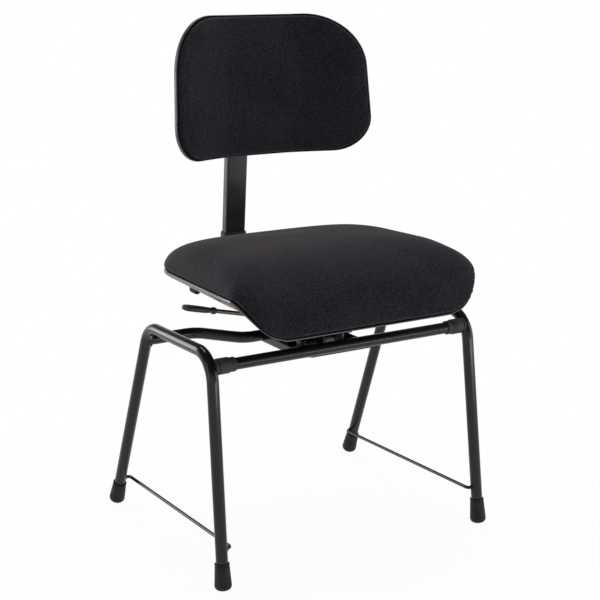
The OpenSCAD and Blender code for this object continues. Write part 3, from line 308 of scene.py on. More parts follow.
def make_fabric(name, dark, light, sheen, tint):
    """Felted woollen cloth: a fine twill under a soft nap, with flecks of lighter yarn."""
    mat, tree, shader, at = surface(name, dark, 0.92, specular=0.1, sheen=sheen, sheen_rough=0.45,
                                    sheen_tint=tint)
    turned = add(tree, "ShaderNodeMapping")
    turned.inputs["Rotation"].default_value = (math.radians(20), math.radians(35), math.radians(45))
    tree.links.new(at, turned.inputs["Vector"])
    twill = add(tree, "ShaderNodeTexWave", in_Scale=260.0, in_Distortion=3.0, in_Detail=2.0,
                bands_direction="X")
    tree.links.new(turned.outputs[0], twill.inputs["Vector"])
    cross = add(tree, "ShaderNodeTexWave", in_Scale=230.0, in_Distortion=4.0, in_Detail=2.0,
                bands_direction="Z")
    tree.links.new(turned.outputs[0], cross.inputs["Vector"])
    weave = add(tree, "ShaderNodeMath", operation="MULTIPLY")
    tree.links.new(twill.outputs["Fac"], weave.inputs[0])
    tree.links.new(cross.outputs["Fac"], weave.inputs[1])
    nap = noise_at(tree, at, 700.0, 4.0, 0.65)
    cloud = noise_at(tree, at, 11.0, 5.0, 0.6)
    yarn = noise_at(tree, at, 340.0, 3.0, 0.75, (1, 1, 1.6))
    mixed = add(tree, "ShaderNodeMath", operation="MULTIPLY_ADD")
    tree.links.new(yarn, mixed.inputs[0])
    mixed.inputs[1].default_value = YARN_SHARE
    shift = add(tree, "ShaderNodeMath", operation="MULTIPLY")
    tree.links.new(cloud, shift.inputs[0])
    shift.inputs[1].default_value = CLOUD_SHARE
    tree.links.new(shift.outputs[0], mixed.inputs[2])
    tree.links.new(colours_by(tree, mixed.outputs[0], dark, light, 0.4, 0.6), shader.inputs["Base Color"])
    tree.links.new(spread_of(tree, cloud, 0.86, 0.98, *NOISE_SPAN), shader.inputs["Roughness"])
    bumps(tree, shader, (weave.outputs[0], 0.4, 0.0004), (nap, 0.6, 0.0006), (cloud, 0.12, 0.0015))
    return mat


def make_steel(name, colour, rough, stretch=(1, 1, 1), scale=500.0):
    mat, tree, shader, at = surface(name, colour, rough, metallic=1.0)
    brushed = noise_at(tree, at, scale, 3.0, 0.6, stretch)
    broad = noise_at(tree, at, 30.0, 4.0)
    tree.links.new(spread_of(tree, broad, rough - 0.07, rough + 0.1, *NOISE_SPAN), shader.inputs["Roughness"])
    dark = tuple(c * 0.72 for c in colour)
    tree.links.new(colours_by(tree, broad, dark, colour), shader.inputs["Base Color"])
    bumps(tree, shader, (brushed, 0.12, 0.0002))
    return mat


def make_wood():
    mat, tree, shader, at = surface("plywood", (0.42, 0.27, 0.14), 0.7)
    ply = add(tree, "ShaderNodeTexWave", in_Scale=110.0, in_Distortion=1.5, in_Detail=3.0,
              bands_direction="Z")
    tree.links.new(at, ply.inputs["Vector"])
    grain = noise_at(tree, at, 40.0, 6.0, 0.7, (1, 14, 1))
    colour = colours_by(tree, ply.outputs["Fac"], (0.36, 0.22, 0.11), (0.52, 0.36, 0.2))
    tree.links.new(colour, shader.inputs["Base Color"])
    bumps(tree, shader, (grain, 0.3, 0.0004))
    return mat


paint = make_black_paint()
shell_plastic = make_shell_plastic("shell_plastic", 0.8, 0.26)
back_plastic = make_shell_plastic("back_shell_plastic", 0.3, 0.34)
sleeve_plastic = make_moulded("sleeve_plastic", (0.02, 0.02, 0.021), 0.62, 900.0, 0.0003, 0.8)
smooth_plastic = make_moulded("smooth_plastic", (0.014, 0.014, 0.015), 0.4, 1500.0, 0.00008, 0.2)
rubber = make_rubber()
fabric = make_fabric("felted_wool", (0.0058, 0.0056, 0.0083), (0.0355, 0.034, 0.0435), 0.17,
                     (0.95, 0.84, 0.88))
zinc = make_steel("zinc_steel", (0.3, 0.305, 0.32), 0.45)
lever_steel = make_steel("lever_steel", (0.14, 0.098, 0.072), 0.3, (14, 1, 1))
brass = make_steel("bush_brass", (0.62, 0.45, 0.2), 0.35)
wood = make_wood()
MATERIALS = {
    "black_paint": paint,
    "black_plastic": smooth_plastic,
    "shell_plastic": shell_plastic,
    "black_rubber": rubber,
    "zinc_steel": zinc,
    "lever_steel": lever_steel,
    "bush_brass": brass,
    "board_wood": wood,
    "black_fabric": fabric,
}
for part in frame["record"]["subparts"]:
    ob = nodes[part["node"]]
    ob.data.materials.clear()
    ob.data.materials.append(MATERIALS[part["material_slot"]])


# Mesh helpers
def piece(name, verts, faces, material, body):
    me = bpy.data.meshes.new(name)
    me.from_pydata([tuple(float(c) * MM for c in v) for v in verts], [], faces)
    me.validate()
    me.update()
    me.shade_smooth()
    me.materials.append(material)
    ob = bpy.data.objects.new(name, me)
    scene.collection.objects.link(ob)
    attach(ob, body)
    return ob


def flip_outward(ob):
    bm = bmesh.new()
    bm.from_mesh(ob.data)
    bmesh.ops.remove_doubles(bm, verts=bm.verts, dist=1e-7)
    bmesh.ops.recalc_face_normals(bm, faces=bm.faces)
    bm.to_mesh(ob.data)
    bm.free()


def sharpen(ob, degrees):
    """Smooth shading, with the edges sharper than this kept crisp."""
    ob.data.shade_smooth()
    ob.data.set_sharp_from_angle(angle=math.radians(degrees))


def rings_mesh(rings, closed=True):
    """Vertices and faces of a skin over rings of equally many points, closed at its two ends or open."""
    n = len(rings[0])
    verts = [tuple(p) for ring in rings for p in ring]
    faces = []
    for j in range(len(rings) - 1):
        for i in range(n):
            a, b = j * n + i, j * n + (i + 1) % n
            faces.append((a, b, b + n, a + n))
    if closed:
        last = (len(rings) - 1) * n
        faces.append(tuple(range(n - 1, -1, -1)))
        faces.append(tuple(range(last, last + n)))
    return verts, faces


def solid(name, rings, material, body, sharp):
    """Closed piece over rings; its edges sharper than so many degrees stay crisp."""
    verts, faces = rings_mesh(rings)
    ob = piece(name, verts, faces, material, body)
    flip_outward(ob)
    sharpen(ob, sharp)
    return ob


def bent_line(points, radius, step=4.0, spacing=40.0):
    """A path through points with arcs of that radius at its corners."""
    pts = [np.array(p, float) for p in points]
    out = [pts[0]]
    for i in range(1, len(pts) - 1):
        a, b, c = pts[i - 1], pts[i], pts[i + 1]
        u, v = (b - a) / np.linalg.norm(b - a), (c - b) / np.linalg.norm(c - b)
        turn = math.acos(max(-1.0, min(1.0, float(u @ v))))
        if turn < 1e-4:
            continue
        reach = radius * math.tan(turn / 2)
        start = b - u * reach
        side = v - u * float(u @ v)
        side /= np.linalg.norm(side)
        centre = start + side * radius
        count = max(3, int(math.degrees(turn) / step))
        run = np.linalg.norm(start - out[-1])
        for k in range(1, int(run / spacing)):
            out.append(out[-1] + u * spacing)
        for k in range(count + 1):
            t = turn * k / count
            out.append(centre - side * radius * math.cos(t) + u * radius * math.sin(t))
    u = (pts[-1] - out[-1]) / np.linalg.norm(pts[-1] - out[-1])
    run = np.linalg.norm(pts[-1] - out[-1])
    for k in range(1, int(run / spacing)):
        out.append(out[-1] + u * spacing)
    out.append(pts[-1])
    return np.array(out)


def sweep(line, normal, profile):
    """Rings of a profile, given as (across normal, along normal) pairs, along a flat line."""
    normal = np.array(normal, float)
    normal /= np.linalg.norm(normal)
    rings = []
    for i, p in enumerate(line):
        before, after = line[max(i - 1, 0)], line[min(i + 1, len(line) - 1)]
        if 0 < i < len(line) - 1:
            d0 = (p - before) / np.linalg.norm(p - before)
            d1 = (after - p) / np.linalg.norm(after - p)
            d = d0 + d1
        else:
            d = after - before
        d /= np.linalg.norm(d)
        across = np.cross(normal, d)
        rings.append([p + across * a + normal * b for a, b in profile])
    return rings


def circle(r, n):
    turns = [2 * math.pi * i / n for i in range(n)]
    return [(r * math.cos(t), r * math.sin(t)) for t in turns]


def rounded_rect(w, h, r, n=8):
    """Outline of a rounded rectangle, w across and h along."""
    out = []
    x, y = w / 2 - r, h / 2 - r
    for cx, cy, start in ((x, y, 0), (-x, y, 90), (-x, -y, 180), (x, -y, 270)):
        for k in range(n + 1):
            t = math.radians(start + 90 * k / n)
            out.append((cx + r * math.cos(t), cy + r * math.sin(t)))
    return out


TUBE_SHARP = 50


def tube(name, points, normal, radius, bend, material, slot, body, n=64):
    rings = sweep(bent_line(points, bend), normal, circle(radius, n))
    return solid(name, rings, material, body, TUBE_SHARP)


def lathe(name, profile, origin, axis, up, material, body, n, sharp):
    """Solid turned from (radius, along axis) pairs."""
    axis = Vector(axis).normalized()
    side = Vector(up).cross(axis).normalized()
    other = axis.cross(side)
    rings = [[Vector(origin) + axis * along + side * a + other * b for a, b in circle(r, n)]
             for r, along in profile]
    return solid(name, rings, material, body, sharp)


BEAD_SIDES, BEAD_UNEVEN, BEAD_RIPPLE = 10, 0.25, 0.12


def bead(name, points, radius, material, slot, body, seed):
    """Weld bead along a closed loop of points, with ripples."""
    pts = [np.array(p, float) for p in points]
    n = len(pts)
    rings = []
    for i, p in enumerate(pts):
        d = pts[(i + 1) % n] - pts[(i - 1) % n]
        d /= np.linalg.norm(d)
        side = np.cross(d, (0.3, 0.5, 0.8))
        side /= np.linalg.norm(side)
        other = np.cross(d, side)
        uneven = BEAD_UNEVEN * noise.noise(Vector((i * 0.55, seed, 0.0)))
        r = radius * (1 + uneven + BEAD_RIPPLE * math.sin(i * 1.9))
        rings.append([p + side * r * math.cos(t) + other * r * math.sin(t)
                      for t in (2 * math.pi * k / BEAD_SIDES for k in range(BEAD_SIDES))])
    rings.append(rings[0])
    verts, faces = rings_mesh(rings, closed=False)
    ob = piece(name, verts, faces, material, body)
    flip_outward(ob)
    return ob


def unit(v):
    v = np.array(v, float)
    return v / np.linalg.norm(v)


def mirror_x(points, side):
    return [(side * p[0], p[1], p[2]) for p in points]


# Sizes shared with the frame
SIDES = ((-1, "right"), (1, "left"))
PAINTED = (paint, "black_paint", "frame")
TUBE_R = 10.0
FOOT_X = 260.5
LEAN = math.radians(1.18)
FRONT_Y, REAR_Y = -214.75, 214.75
SPLAY, RAKE = math.radians(6.5), math.radians(22.2)
FRONT_Z, REAR_Z = 381.0, 375.0
FRAME_BEND = 48.0
CROSSBAR_Z, CROSS_Z = 360.3, 348.0
JOG_OUTER, JOG_INNER, JOG_DEPTH, JOG_BEND = 159.5, 102, 76.0, 35


def up_plane(z):
    return z / math.cos(LEAN)


def front_y(z):
    return FRONT_Y + up_plane(z) * math.tan(SPLAY)


def rear_y(z):
    return REAR_Y - up_plane(z) * math.tan(RAKE)


def leg_x(z):
    return FOOT_X - z * math.tan(LEAN)


def in_side(y, s):
    """Point of the +X side frame's plane at s up the plane."""
    return (FOOT_X - s * math.sin(LEAN), y, s * math.cos(LEAN))


FOOT_R, FOOT_EDGE, FOOT_FLAT, FOOT_LEN, FOOT_TOP_R = 14.25, 8.0, 0.5, 45.0, 12.2


def foot_along(angle):
    tilt = math.acos(math.cos(angle) * math.cos(LEAN))
    z = FOOT_EDGE + (FOOT_R - FOOT_EDGE) * math.sin(tilt) - FOOT_FLAT
    return z / (math.cos(angle) * math.cos(LEAN))


front_dir = (math.sin(SPLAY), math.cos(SPLAY))
rear_dir = (-math.sin(RAKE), math.cos(RAKE))
side_path = [
    (FRONT_Y + front_dir[0] * foot_along(SPLAY), front_dir[1] * foot_along(SPLAY)),
    (front_y(FRONT_Z), up_plane(FRONT_Z)),
    (rear_y(REAR_Z), up_plane(REAR_Z)),
    (REAR_Y + rear_dir[0] * foot_along(RAKE), rear_dir[1] * foot_along(RAKE)),
]


def crossbar_y():
    p = [np.array(q) for q in side_path]
    u, v = unit(p[1] - p[0]), unit(p[2] - p[1])
    turn = math.acos(float(u @ v))
    start = p[1] - u * FRAME_BEND * math.tan(turn / 2)
    centre = start + FRAME_BEND * np.array((u[1], -u[0]))
    climb = up_plane(CROSSBAR_Z) - centre[1]
    return float(centre[0] - math.sqrt(FRAME_BEND ** 2 - climb ** 2))


BAR_Y = crossbar_y()
CROSS_END_Y = rear_y(CROSS_Z)
CROSS_MID_Y = CROSS_END_Y - JOG_DEPTH


# Steel frame
def side_frame(side, name):
    pts = mirror_x([in_side(y, s) for y, s in side_path], side)
    normal = (math.cos(LEAN) * side, 0, math.sin(LEAN))
    ob = tube(name + "_tube", pts, normal, TUBE_R, FRAME_BEND, *PAINTED)
    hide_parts(name)


for side, word in SIDES:
    side_frame(side, word + "_side_frame")

bar_x = leg_x(CROSSBAR_Z)
bar_ends = [(-bar_x, BAR_Y, CROSSBAR_Z), (bar_x, BAR_Y, CROSSBAR_Z)]
bar = tube("front_crossbar_tube", bar_ends, (0, 0, 1), TUBE_R, 0, *PAINTED)
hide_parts("front_crossbar")

# The rear cross tube jogs forward between its ends
cross_x = leg_x(CROSS_Z) - 2
cross_half = [(cross_x, CROSS_END_Y), (JOG_OUTER, CROSS_END_Y), (JOG_INNER, CROSS_MID_Y)]
cross_run = [(-x, y, CROSS_Z) for x, y in cross_half] + [(x, y, CROSS_Z) for x, y in reversed(cross_half)]
cross = tube("rear_cross_tube_bent", cross_run, (0, 0, 1), TUBE_R, JOG_BEND, *PAINTED)
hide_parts("rear_cross_tube")

WELD_R, WELD_GROW, WELD_PROUD = 1.9, 1.0, 0.6


def saddle_loop(side, y0, z0):
    """Points where a level tube across X meets the leg behind it, on the leg's inner side."""
    out = []
    for dy, dz in circle(TUBE_R + WELD_GROW, 44):
        leg = leg_x(z0 + dz)
        off = (dy + dz * math.tan(RAKE)) * math.cos(RAKE)
        inward = math.sqrt(max(0.0, TUBE_R ** 2 - min(abs(off), TUBE_R) ** 2))
        out.append((side * (leg - inward - WELD_PROUD), y0 + dy, z0 + dz))
    return out


for side, word in SIDES:
    bead(word + "_cross_weld", saddle_loop(side, CROSS_END_Y, CROSS_Z), WELD_R, *PAINTED, seed=side)

# Tie rods
ROD_R, ROD_FRONT_Z, ROD_REAR_Z, ROD_OFFSET, ROD_TIP = 3.0, 67.0, 53.0, 18.0, 4
ROD_WELD_R, ROD_WELD_LOOP = 1.2, 3.9
for side, word in SIDES:
    fx, rx = leg_x(ROD_FRONT_Z), leg_x(ROD_REAR_Z)
    fy, ry = front_y(ROD_FRONT_Z), rear_y(ROD_REAR_Z)
    pts = mirror_x([(fx - ROD_TIP, fy, ROD_FRONT_Z), (fx - ROD_OFFSET, fy, ROD_FRONT_Z),
                    (rx - ROD_OFFSET, ry, ROD_REAR_Z), (rx - ROD_TIP, ry, ROD_REAR_Z)], side)
    down = unit((0, ROD_FRONT_Z - ROD_REAR_Z, ry - fy))
    rod = tube(word + "_tie_rod_bar", pts, down, ROD_R, ROD_OFFSET - TUBE_R, *PAINTED, 28)
    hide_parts(word + "_tie_rod")
    for end, x, y, z in (("front", fx, fy, ROD_FRONT_Z), ("rear", rx, ry, ROD_REAR_Z)):
        loop = [(side * (x - TUBE_R + 0.2), y + a, z + b) for a, b in circle(ROD_WELD_LOOP, 22)]
        bead(f"{word}_{end}_rod_weld", loop, ROD_WELD_R, *PAINTED, seed=side + 3)

# Rubber feet
FOOT_TOP = FOOT_LEN - FOOT_EDGE
FOOT_RIM, FOOT_AXIS_R = 4.2, 0.4


def foot_profile():
    """(radius, along) pairs: rounded ground edge, tapering body, groove, rim and the mouth around the leg."""
    ring = FOOT_R - FOOT_EDGE
    out = [(FOOT_AXIS_R, -FOOT_EDGE), (ring, -FOOT_EDGE)]
    for k in range(1, 13):
        t = math.radians(90 * k / 12)
        out.append((ring + FOOT_EDGE * math.sin(t), -FOOT_EDGE * math.cos(t)))
    groove = FOOT_TOP - FOOT_RIM
    for k in range(1, 7):
        out.append((FOOT_R + (FOOT_TOP_R - FOOT_R) * k / 6, groove * k / 6))
    for r, along, steps in ((FOOT_TOP_R, groove, ((-0.25, 0.35), (-0.6, 0.8), (-0.3, 1.25), (0.15, 1.6))),
                            (FOOT_TOP_R, FOOT_TOP, ((0.2, -1.0), (-0.1, -0.3), (-0.7, 0.0))),
                            (TUBE_R, FOOT_TOP, ((0.5, 0.0), (0.1, -0.8), (-1.0, -3.0)))):
        out += [(r + a, along + b) for a, b in steps]
    out.append((FOOT_AXIS_R, FOOT_TOP - 3.2))
    return out


def foot(side, word, y, angle, direction):
    along = foot_along(angle)
    base = in_side(y + direction[0] * along, direction[1] * along)
    axis = (-direction[1] * math.sin(LEAN), direction[0], direction[1] * math.cos(LEAN))
    origin = (side * base[0], base[1], base[2])
    ob = lathe(word + "_moulding", foot_profile(), origin, (side * axis[0], axis[1], axis[2]), (1, 0, 0),
               rubber, "frame", 80, 30)
    for v in ob.data.vertices:
        v.co.z = max(v.co.z, 0.0)
    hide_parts(word)


for place, y, angle, direction in (("front", FRONT_Y, SPLAY, front_dir), ("rear", REAR_Y, RAKE, rear_dir)):
    for side, word in SIDES:
        foot(side, f"{word}_{place}_foot", y, angle, direction)

# Crossbar sleeves: (radius, along) pairs outward from the inner end
SLEEVE_REACH, SLEEVE_BORE = 43, TUBE_R + 0.1
SLEEVE_PROFILE = [
    (SLEEVE_BORE, 0.0), (11.4, 0.15), (12.0, 0.7), (12.0, 10.2), (12.1, 10.9), (12.9, 11.3), (13.3, 12.0),
    (13.3, 30.4), (13.1, 31.0), (12.2, 31.3), (11.9, 31.8), (11.9, 33.2), (12.2, 33.7), (13.0, 34.0),
    (13.2, 34.6), (13.2, 37.5), (SLEEVE_BORE, 38.0),
]
for side, word in SIDES:
    inner_end = (side * (leg_x(CROSSBAR_Z) - SLEEVE_REACH), BAR_Y, CROSSBAR_Z)
    sleeve = lathe(word + "_sleeve_moulding", SLEEVE_PROFILE, inner_end, (side, 0, 0), (0, 0, 1),
                   sleeve_plastic, "frame", 72, 40)
    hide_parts(word + "_crossbar_sleeve")


# Seat and back forms
def corner_arc(a, b, c, r, n):
    """Points of the arc of radius r that rounds corner b between a and c."""
    u, v = unit(np.subtract(a, b)), unit(np.subtract(c, b))
    half = math.acos(float(u @ v)) / 2
    centre = np.array(b, float) + unit(u + v) * r / math.sin(half)
    x, y = np.array(b, float) + u * r / math.tan(half) - centre
    turns = [(math.pi - 2 * half) * i / n for i in range(n + 1)]
    return [centre + np.array((x * math.cos(t) - y * math.sin(t), x * math.sin(t) + y * math.cos(t)))
            for t in turns]


def rounded_trapezoid(low, high, arc_steps, edge_steps):
    """Outline of a symmetric trapezoid. low and high give (width, y, corner radius) at its two ends."""
    (w0, y0, r0), (w1, y1, r1) = low, high
    corners = [(w0 / 2, y0), (w1 / 2, y1), (-w1 / 2, y1), (-w0 / 2, y0)]
    radii = [r0, r1, r1, r0]
    m = len(corners)
    arcs = [corner_arc(corners[i - 1], corners[i], corners[(i + 1) % m], radii[i], arc_steps)
            for i in range(m)]
    out = []
    for i in range(m):
        out += arcs[i]
        end, start = arcs[i][-1], arcs[(i + 1) % m][0]
        out += [end + (start - end) * k / edge_steps for k in range(1, edge_steps)]
    return out


def smoothstep(t):
    """0 to 1 for t from 0 to 1, level at both ends."""
    t = min(max(t, 0.0), 1.0)
    return t * t * (3 - 2 * t)


def mix(a, b, t):
    return a + (b - a) * t


SEAT_LEN, SEAT_FRONT_W, SEAT_REAR_W, SEAT_FRONT_R, SEAT_REAR_R = 449.0, 480.0, 390.0, 52.0, 136.0
SEAT_Y0, SEAT_Y1 = -252.0, 197.0
SEAT_MID = np.array((0.0, (SEAT_Y0 + SEAT_Y1) / 2))
RIM_FRONT, RIM_SIDE, RIM_REAR, SEAT_TOP = 412.0, 476.0, 456.0, 526.0
SHELL_BASE, SHELL_T, SEAT_BAND, FRONT_BAND_SHARE = 425.0, 3.0, 7.0, 0.5
SHELL_FRONT_INSET = 0.015
SEAT_DISH_FLAT, BACK_DISH_FLAT, DISH_POWER = 0.5, 0.4, 2.2
CLIMB_START, CLIMB_RUN = 1.6, 2.6  # in radii of the front corners
PAD_GAP = 0.3
seat_plan = rounded_trapezoid((SEAT_FRONT_W, SEAT_Y0, SEAT_FRONT_R), (SEAT_REAR_W, SEAT_Y1, SEAT_REAR_R),
                              22, 18)


def seat_climb(p):
    """0 along the front edge and 1 on the sides: the rim climbs around the front corners."""
    past = abs(p[0]) - SEAT_FRONT_W / 2 + CLIMB_START * SEAT_FRONT_R + p[1] - SEAT_Y0
    return smoothstep(past / (CLIMB_RUN * SEAT_FRONT_R))


def seat_rim(p):
    """Height of the shell's upper edge."""
    side_z = mix(RIM_SIDE, RIM_REAR, min(max((p[1] - SEAT_Y0) / SEAT_LEN, 0), 1))
    return mix(RIM_FRONT, side_z, seat_climb(p))


def seat_edge(p):
    """Height of the shell's lower edge."""
    return seat_rim(p) - SEAT_BAND * mix(FRONT_BAND_SHARE, 1, seat_climb(p))


def dish(share, flat):
    """0 over the flat middle, rising to 1 at the outline."""
    return (max(share - flat, 0) / (1 - flat)) ** DISH_POWER


def seat_under(p, share):
    """Height of the shell's underside."""
    return mix(SHELL_BASE, seat_edge(p), dish(share, SEAT_DISH_FLAT))


def front_part(p):
    """1 at the front edge, fading to 0 halfway to the seat's middle."""
    return smoothstep((SEAT_MID[1] - p[1]) / (SEAT_MID[1] - SEAT_Y0) * 2 - 1)


shell_plan = [SEAT_MID + (p - SEAT_MID) * (1 - SHELL_FRONT_INSET * front_part(p)) for p in seat_plan]


def plan_ring(share, height):
    """Ring at a share of the shell's plan, which is a number or depends on the point, at height(p, share)."""
    out = []
    for p in shell_plan:
        s = share(p) if callable(share) else share
        q = SEAT_MID + (p - SEAT_MID) * s
        out.append((q[0], q[1], height(p, s)))
    return out


def raised(height, by):
    return lambda p, share: height(p) + by


def skin(name, rings, low, high, material, body):
    """Closed skin over rings, with a fan to a point at each end."""
    n = len(rings[0])
    verts, faces = rings_mesh(rings, closed=False)
    verts += [tuple(low), tuple(high)]
    a, b = len(verts) - 2, len(verts) - 1
    last = (len(rings) - 1) * n
    faces += [(a, (i + 1) % n, i) for i in range(n)]
    faces += [(b, last + i, last + (i + 1) % n) for i in range(n)]
    ob = piece(name, verts, faces, material, body)
    flip_outward(ob)
    return ob


def seat_shell():
    shares = [0.1, 0.25, 0.4, 0.5, 0.57, 0.64, 0.71, 0.78, 0.84, 0.9, 0.94, 0.97]
    rings = [plan_ring(s, seat_under) for s in shares]
    rings += [plan_ring(s, raised(seat_edge, up)) for s, up in ((0.99, -0.1), (0.998, 0.8), (1.0, 1.8))]
    rings += [plan_ring(s, raised(seat_rim, up)) for s, up in (
        (1.0, -2.4), (0.998, -1.3), (0.993, -0.3), (0.989, 0.0), (0.985, -0.4), (0.983, -2.0))]
    rings += [plan_ring(s, lambda p, s: seat_under(p, s) + SHELL_T) for s in reversed(shares[3:-1])]
    ob = skin("seat_shell_moulding", rings, (*SEAT_MID, SHELL_BASE), (*SEAT_MID, SHELL_BASE + SHELL_T),
              shell_plastic, "frame")
    sharpen(ob, 40)
    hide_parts("seat_shell")


seat_shell()
BELLY, FRONT_LAP, REAR_DROP, REAR_DROP_POWER, SIDE_DROP = 3.0, 1.0, 42.5, 1.8, 4.3
REAR_ROUND, FRONT_ROUND = 0.25, 0.57


def crown_z(y):
    return SEAT_TOP - REAR_DROP * (max(y - SEAT_MID[1], 0) / (SEAT_Y1 - SEAT_MID[1])) ** REAR_DROP_POWER


def crown_share(p, a):
    return max(math.cos(a), 1e-9) ** mix(REAR_ROUND, FRONT_ROUND, front_part(p))


def crown_ring(a):
    """Ring of the cushion's top at angle a, from its edge (0) towards its middle (a quarter turn)."""
    out = []
    for p in seat_plan:
        share = crown_share(p, a)
        q = SEAT_MID + (p - SEAT_MID) * share
        base = seat_rim(p) + mix(BELLY, -FRONT_LAP, front_part(p))
        y = mix(SEAT_MID[1], p[1], share)
        z = mix(base, crown_z(y) - SIDE_DROP * share ** 2, math.sin(a))
        out.append((q[0], q[1], z))
    return out


def shrink(ob, by):
    """Moves every point inward along its normal."""
    me = ob.data
    me.update()
    co = np.array([v.co for v in me.vertices])
    no = np.array([v.normal for v in me.vertices])
    me.vertices.foreach_set("co", (co - no * by).ravel())
    me.update()


def apply_modifiers(ob):
    deps = bpy.context.evaluated_depsgraph_get()
    fresh = bpy.data.meshes.new_from_object(ob.evaluated_get(deps))
    ob.modifiers.clear()
    old = ob.data
    ob.data = fresh
    bpy.data.meshes.remove(old)


def settle(ob, form, grip):
    """Draws a pad back onto the form that it started from, by grip(p) from 0 to 1."""
    points = [v.co.copy() for v in ob.data.vertices]
    for i, p in enumerate(points):
        share = grip(p)
        if share > 0:
            points[i] = p.lerp(form.find_nearest(p)[0], share)
    ob.data.vertices.foreach_set("co", np.array(points).ravel())
    ob.data.update()


def grip_near(line, full, fade):
    """grip(p) for settle: 1 within full mm of the line's points, gone over the next fade mm."""
    def grip(p):
        near = np.linalg.norm(line - np.array(p) / MM, axis=1).min()
        return 1.0 - smoothstep((near - full) / fade)
    return grip


def soften(ob, name, times):
    smooth = ob.modifiers.new(name, "SMOOTH")
    smooth.factor = 0.5
    smooth.iterations = times


# Metres, and the cloth's pressure and number of frames
VOXEL, PAD_SHRINK, SEAT_SWELL, BACK_SWELL = 0.004, 0.0006, 0.001, 0.0018
PRESSURE, CLOTH_FRAMES = 3.0, 20


def inflate(ob, cap, held, grip):
    """Remeshes a pad, blows it up as cloth with the points where held(p) fixed, and settles it.

    No point moves by more than cap in the simulation.
    """
    material = ob.data.materials[0]
    form = BVHTree.FromPolygons([v.co.copy() for v in ob.data.vertices],
                                [tuple(f.vertices) for f in ob.data.polygons])
    shrink(ob, PAD_SHRINK)
    remesh = ob.modifiers.new("remesh", "REMESH")
    remesh.mode = "VOXEL"
    remesh.voxel_size = VOXEL
    remesh.use_smooth_shade = True
    apply_modifiers(ob)
    rest = np.array([v.co for v in ob.data.vertices])
    group = ob.vertex_groups.new(name="held")
    for i, p in enumerate(rest):
        if held(p):
            group.add([i], 1.0, "REPLACE")
    cloth = ob.modifiers.new("cloth", "CLOTH")
    s = cloth.settings
    s.use_pressure = True
    s.uniform_pressure_force = PRESSURE
    s.quality = 5
    s.mass = 0.3
    s.tension_stiffness = s.compression_stiffness = 15
    s.bending_stiffness = 2.0
    s.effector_weights.gravity = 0
    s.vertex_group_mass = group.name
    cloth.collision_settings.use_collision = False
    for f in range(1, CLOTH_FRAMES + 1):
        scene.frame_set(f)
    deps = bpy.context.evaluated_depsgraph_get()
    blown = ob.evaluated_get(deps).to_mesh()
    moved = np.array([v.co for v in blown.vertices]) - rest
    ob.evaluated_get(deps).to_mesh_clear()
    ob.modifiers.clear()
    ob.vertex_groups.clear()
    far = np.linalg.norm(moved, axis=1)
    moved *= np.minimum(1.0, cap / np.maximum(far, 1e-9))[:, None]
    ob.data.vertices.foreach_set("co", (rest + moved).ravel())
    scene.frame_set(1)
    ob.data.update()
    soften(ob, "smooth", 4)
    divide = ob.modifiers.new("divide", "SUBSURF")
    divide.levels = divide.render_levels = 1
    apply_modifiers(ob)
    settle(ob, form, grip)
    soften(ob, "even", 6)
    apply_modifiers(ob)
    if not ob.data.materials:
        ob.data.materials.append(material)
    ob.data.shade_smooth()


LIP_START, LIP_RUN = 0.96, 0.025


def on_lip(p, share):
    """Height of the cushion's underside where it climbs over the shell's lip."""
    slope = mix(seat_under(p, LIP_START) + SHELL_T, seat_rim(p), (share - LIP_START) / LIP_RUN)
    return max(seat_rim(p), slope) + PAD_GAP


seat_line = np.array([(p[0], p[1], seat_rim(p)) for p in seat_plan])
SEAT_BOARD, CROWN_STEPS = 12.3, 40
HELD_BELOW, HELD_Y, HELD_REACH = 0.444, -0.027, 0.15  # metres: the underside's middle


def seat_held(p):
    return p[2] < HELD_BELOW and abs(p[1] - HELD_Y) < HELD_REACH


def seat_cushion():
    board = SHELL_BASE + SHELL_T + SEAT_BOARD
    rings = [plan_ring(s, lambda p, s: board) for s in (0.1, 0.3, 0.5, 0.62)]
    rings += [plan_ring(s, lambda p, s: seat_under(p, s) + SHELL_T + PAD_GAP)
              for s in (0.65, 0.72, 0.8, 0.86, 0.9, 0.94)]
    rings.append(plan_ring(0.972, on_lip))
    rings.append(plan_ring(lambda p: mix(0.975, 1.002, front_part(p)), on_lip))
    rings += [crown_ring(math.radians(90 * i / CROWN_STEPS)) for i in range(CROWN_STEPS)]
    ob = skin("seat_pad", rings, (*SEAT_MID, board), (*SEAT_MID, SEAT_TOP), fabric, "frame")
    inflate(ob, SEAT_SWELL, seat_held, grip_near(seat_line, 8.0, 14.0))
    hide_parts("seat_cushion")


seat_cushion()

# Backrest
BACK_W, BACK_TOP_W, BACK_H = 399.0, 372.0, 247.0
BACK_Y, BACK_Z, BACK_LEAN = 123.0, 769.8, math.radians(3.0)
BACK_DEPTH, BACK_BAND, BACK_CROWN, BACK_WRAP = 28.0, 10.0, 18.0, 72.0
BACK_R, BACK_TOP_R = 60.0, 100.0
BACK_FLAT, WRAP_POWER = 0.25 * BACK_W / 2, 1.42
BACK_BOARD, BACK_STEPS = 9.3, 32
BACK_PAD_SHARE, BACK_PAD_ROUND, BACK_PAD_START = 0.988, 0.3, 2.0
BACK_HELD_Y = 0.128
back_plan = rounded_trapezoid((BACK_W, -BACK_H / 2, BACK_R), (BACK_TOP_W, BACK_H / 2, BACK_TOP_R), 22, 16)


def back_wrap(x):
    """How far forward the backrest comes at x: its ends wrap around the sitter."""
    return BACK_WRAP * (max(abs(x) - BACK_FLAT, 0) / (BACK_W / 2 - BACK_FLAT)) ** WRAP_POWER


def back_under(share):
    return mix(-BACK_DEPTH, -BACK_BAND, dish(share, BACK_DISH_FLAT))


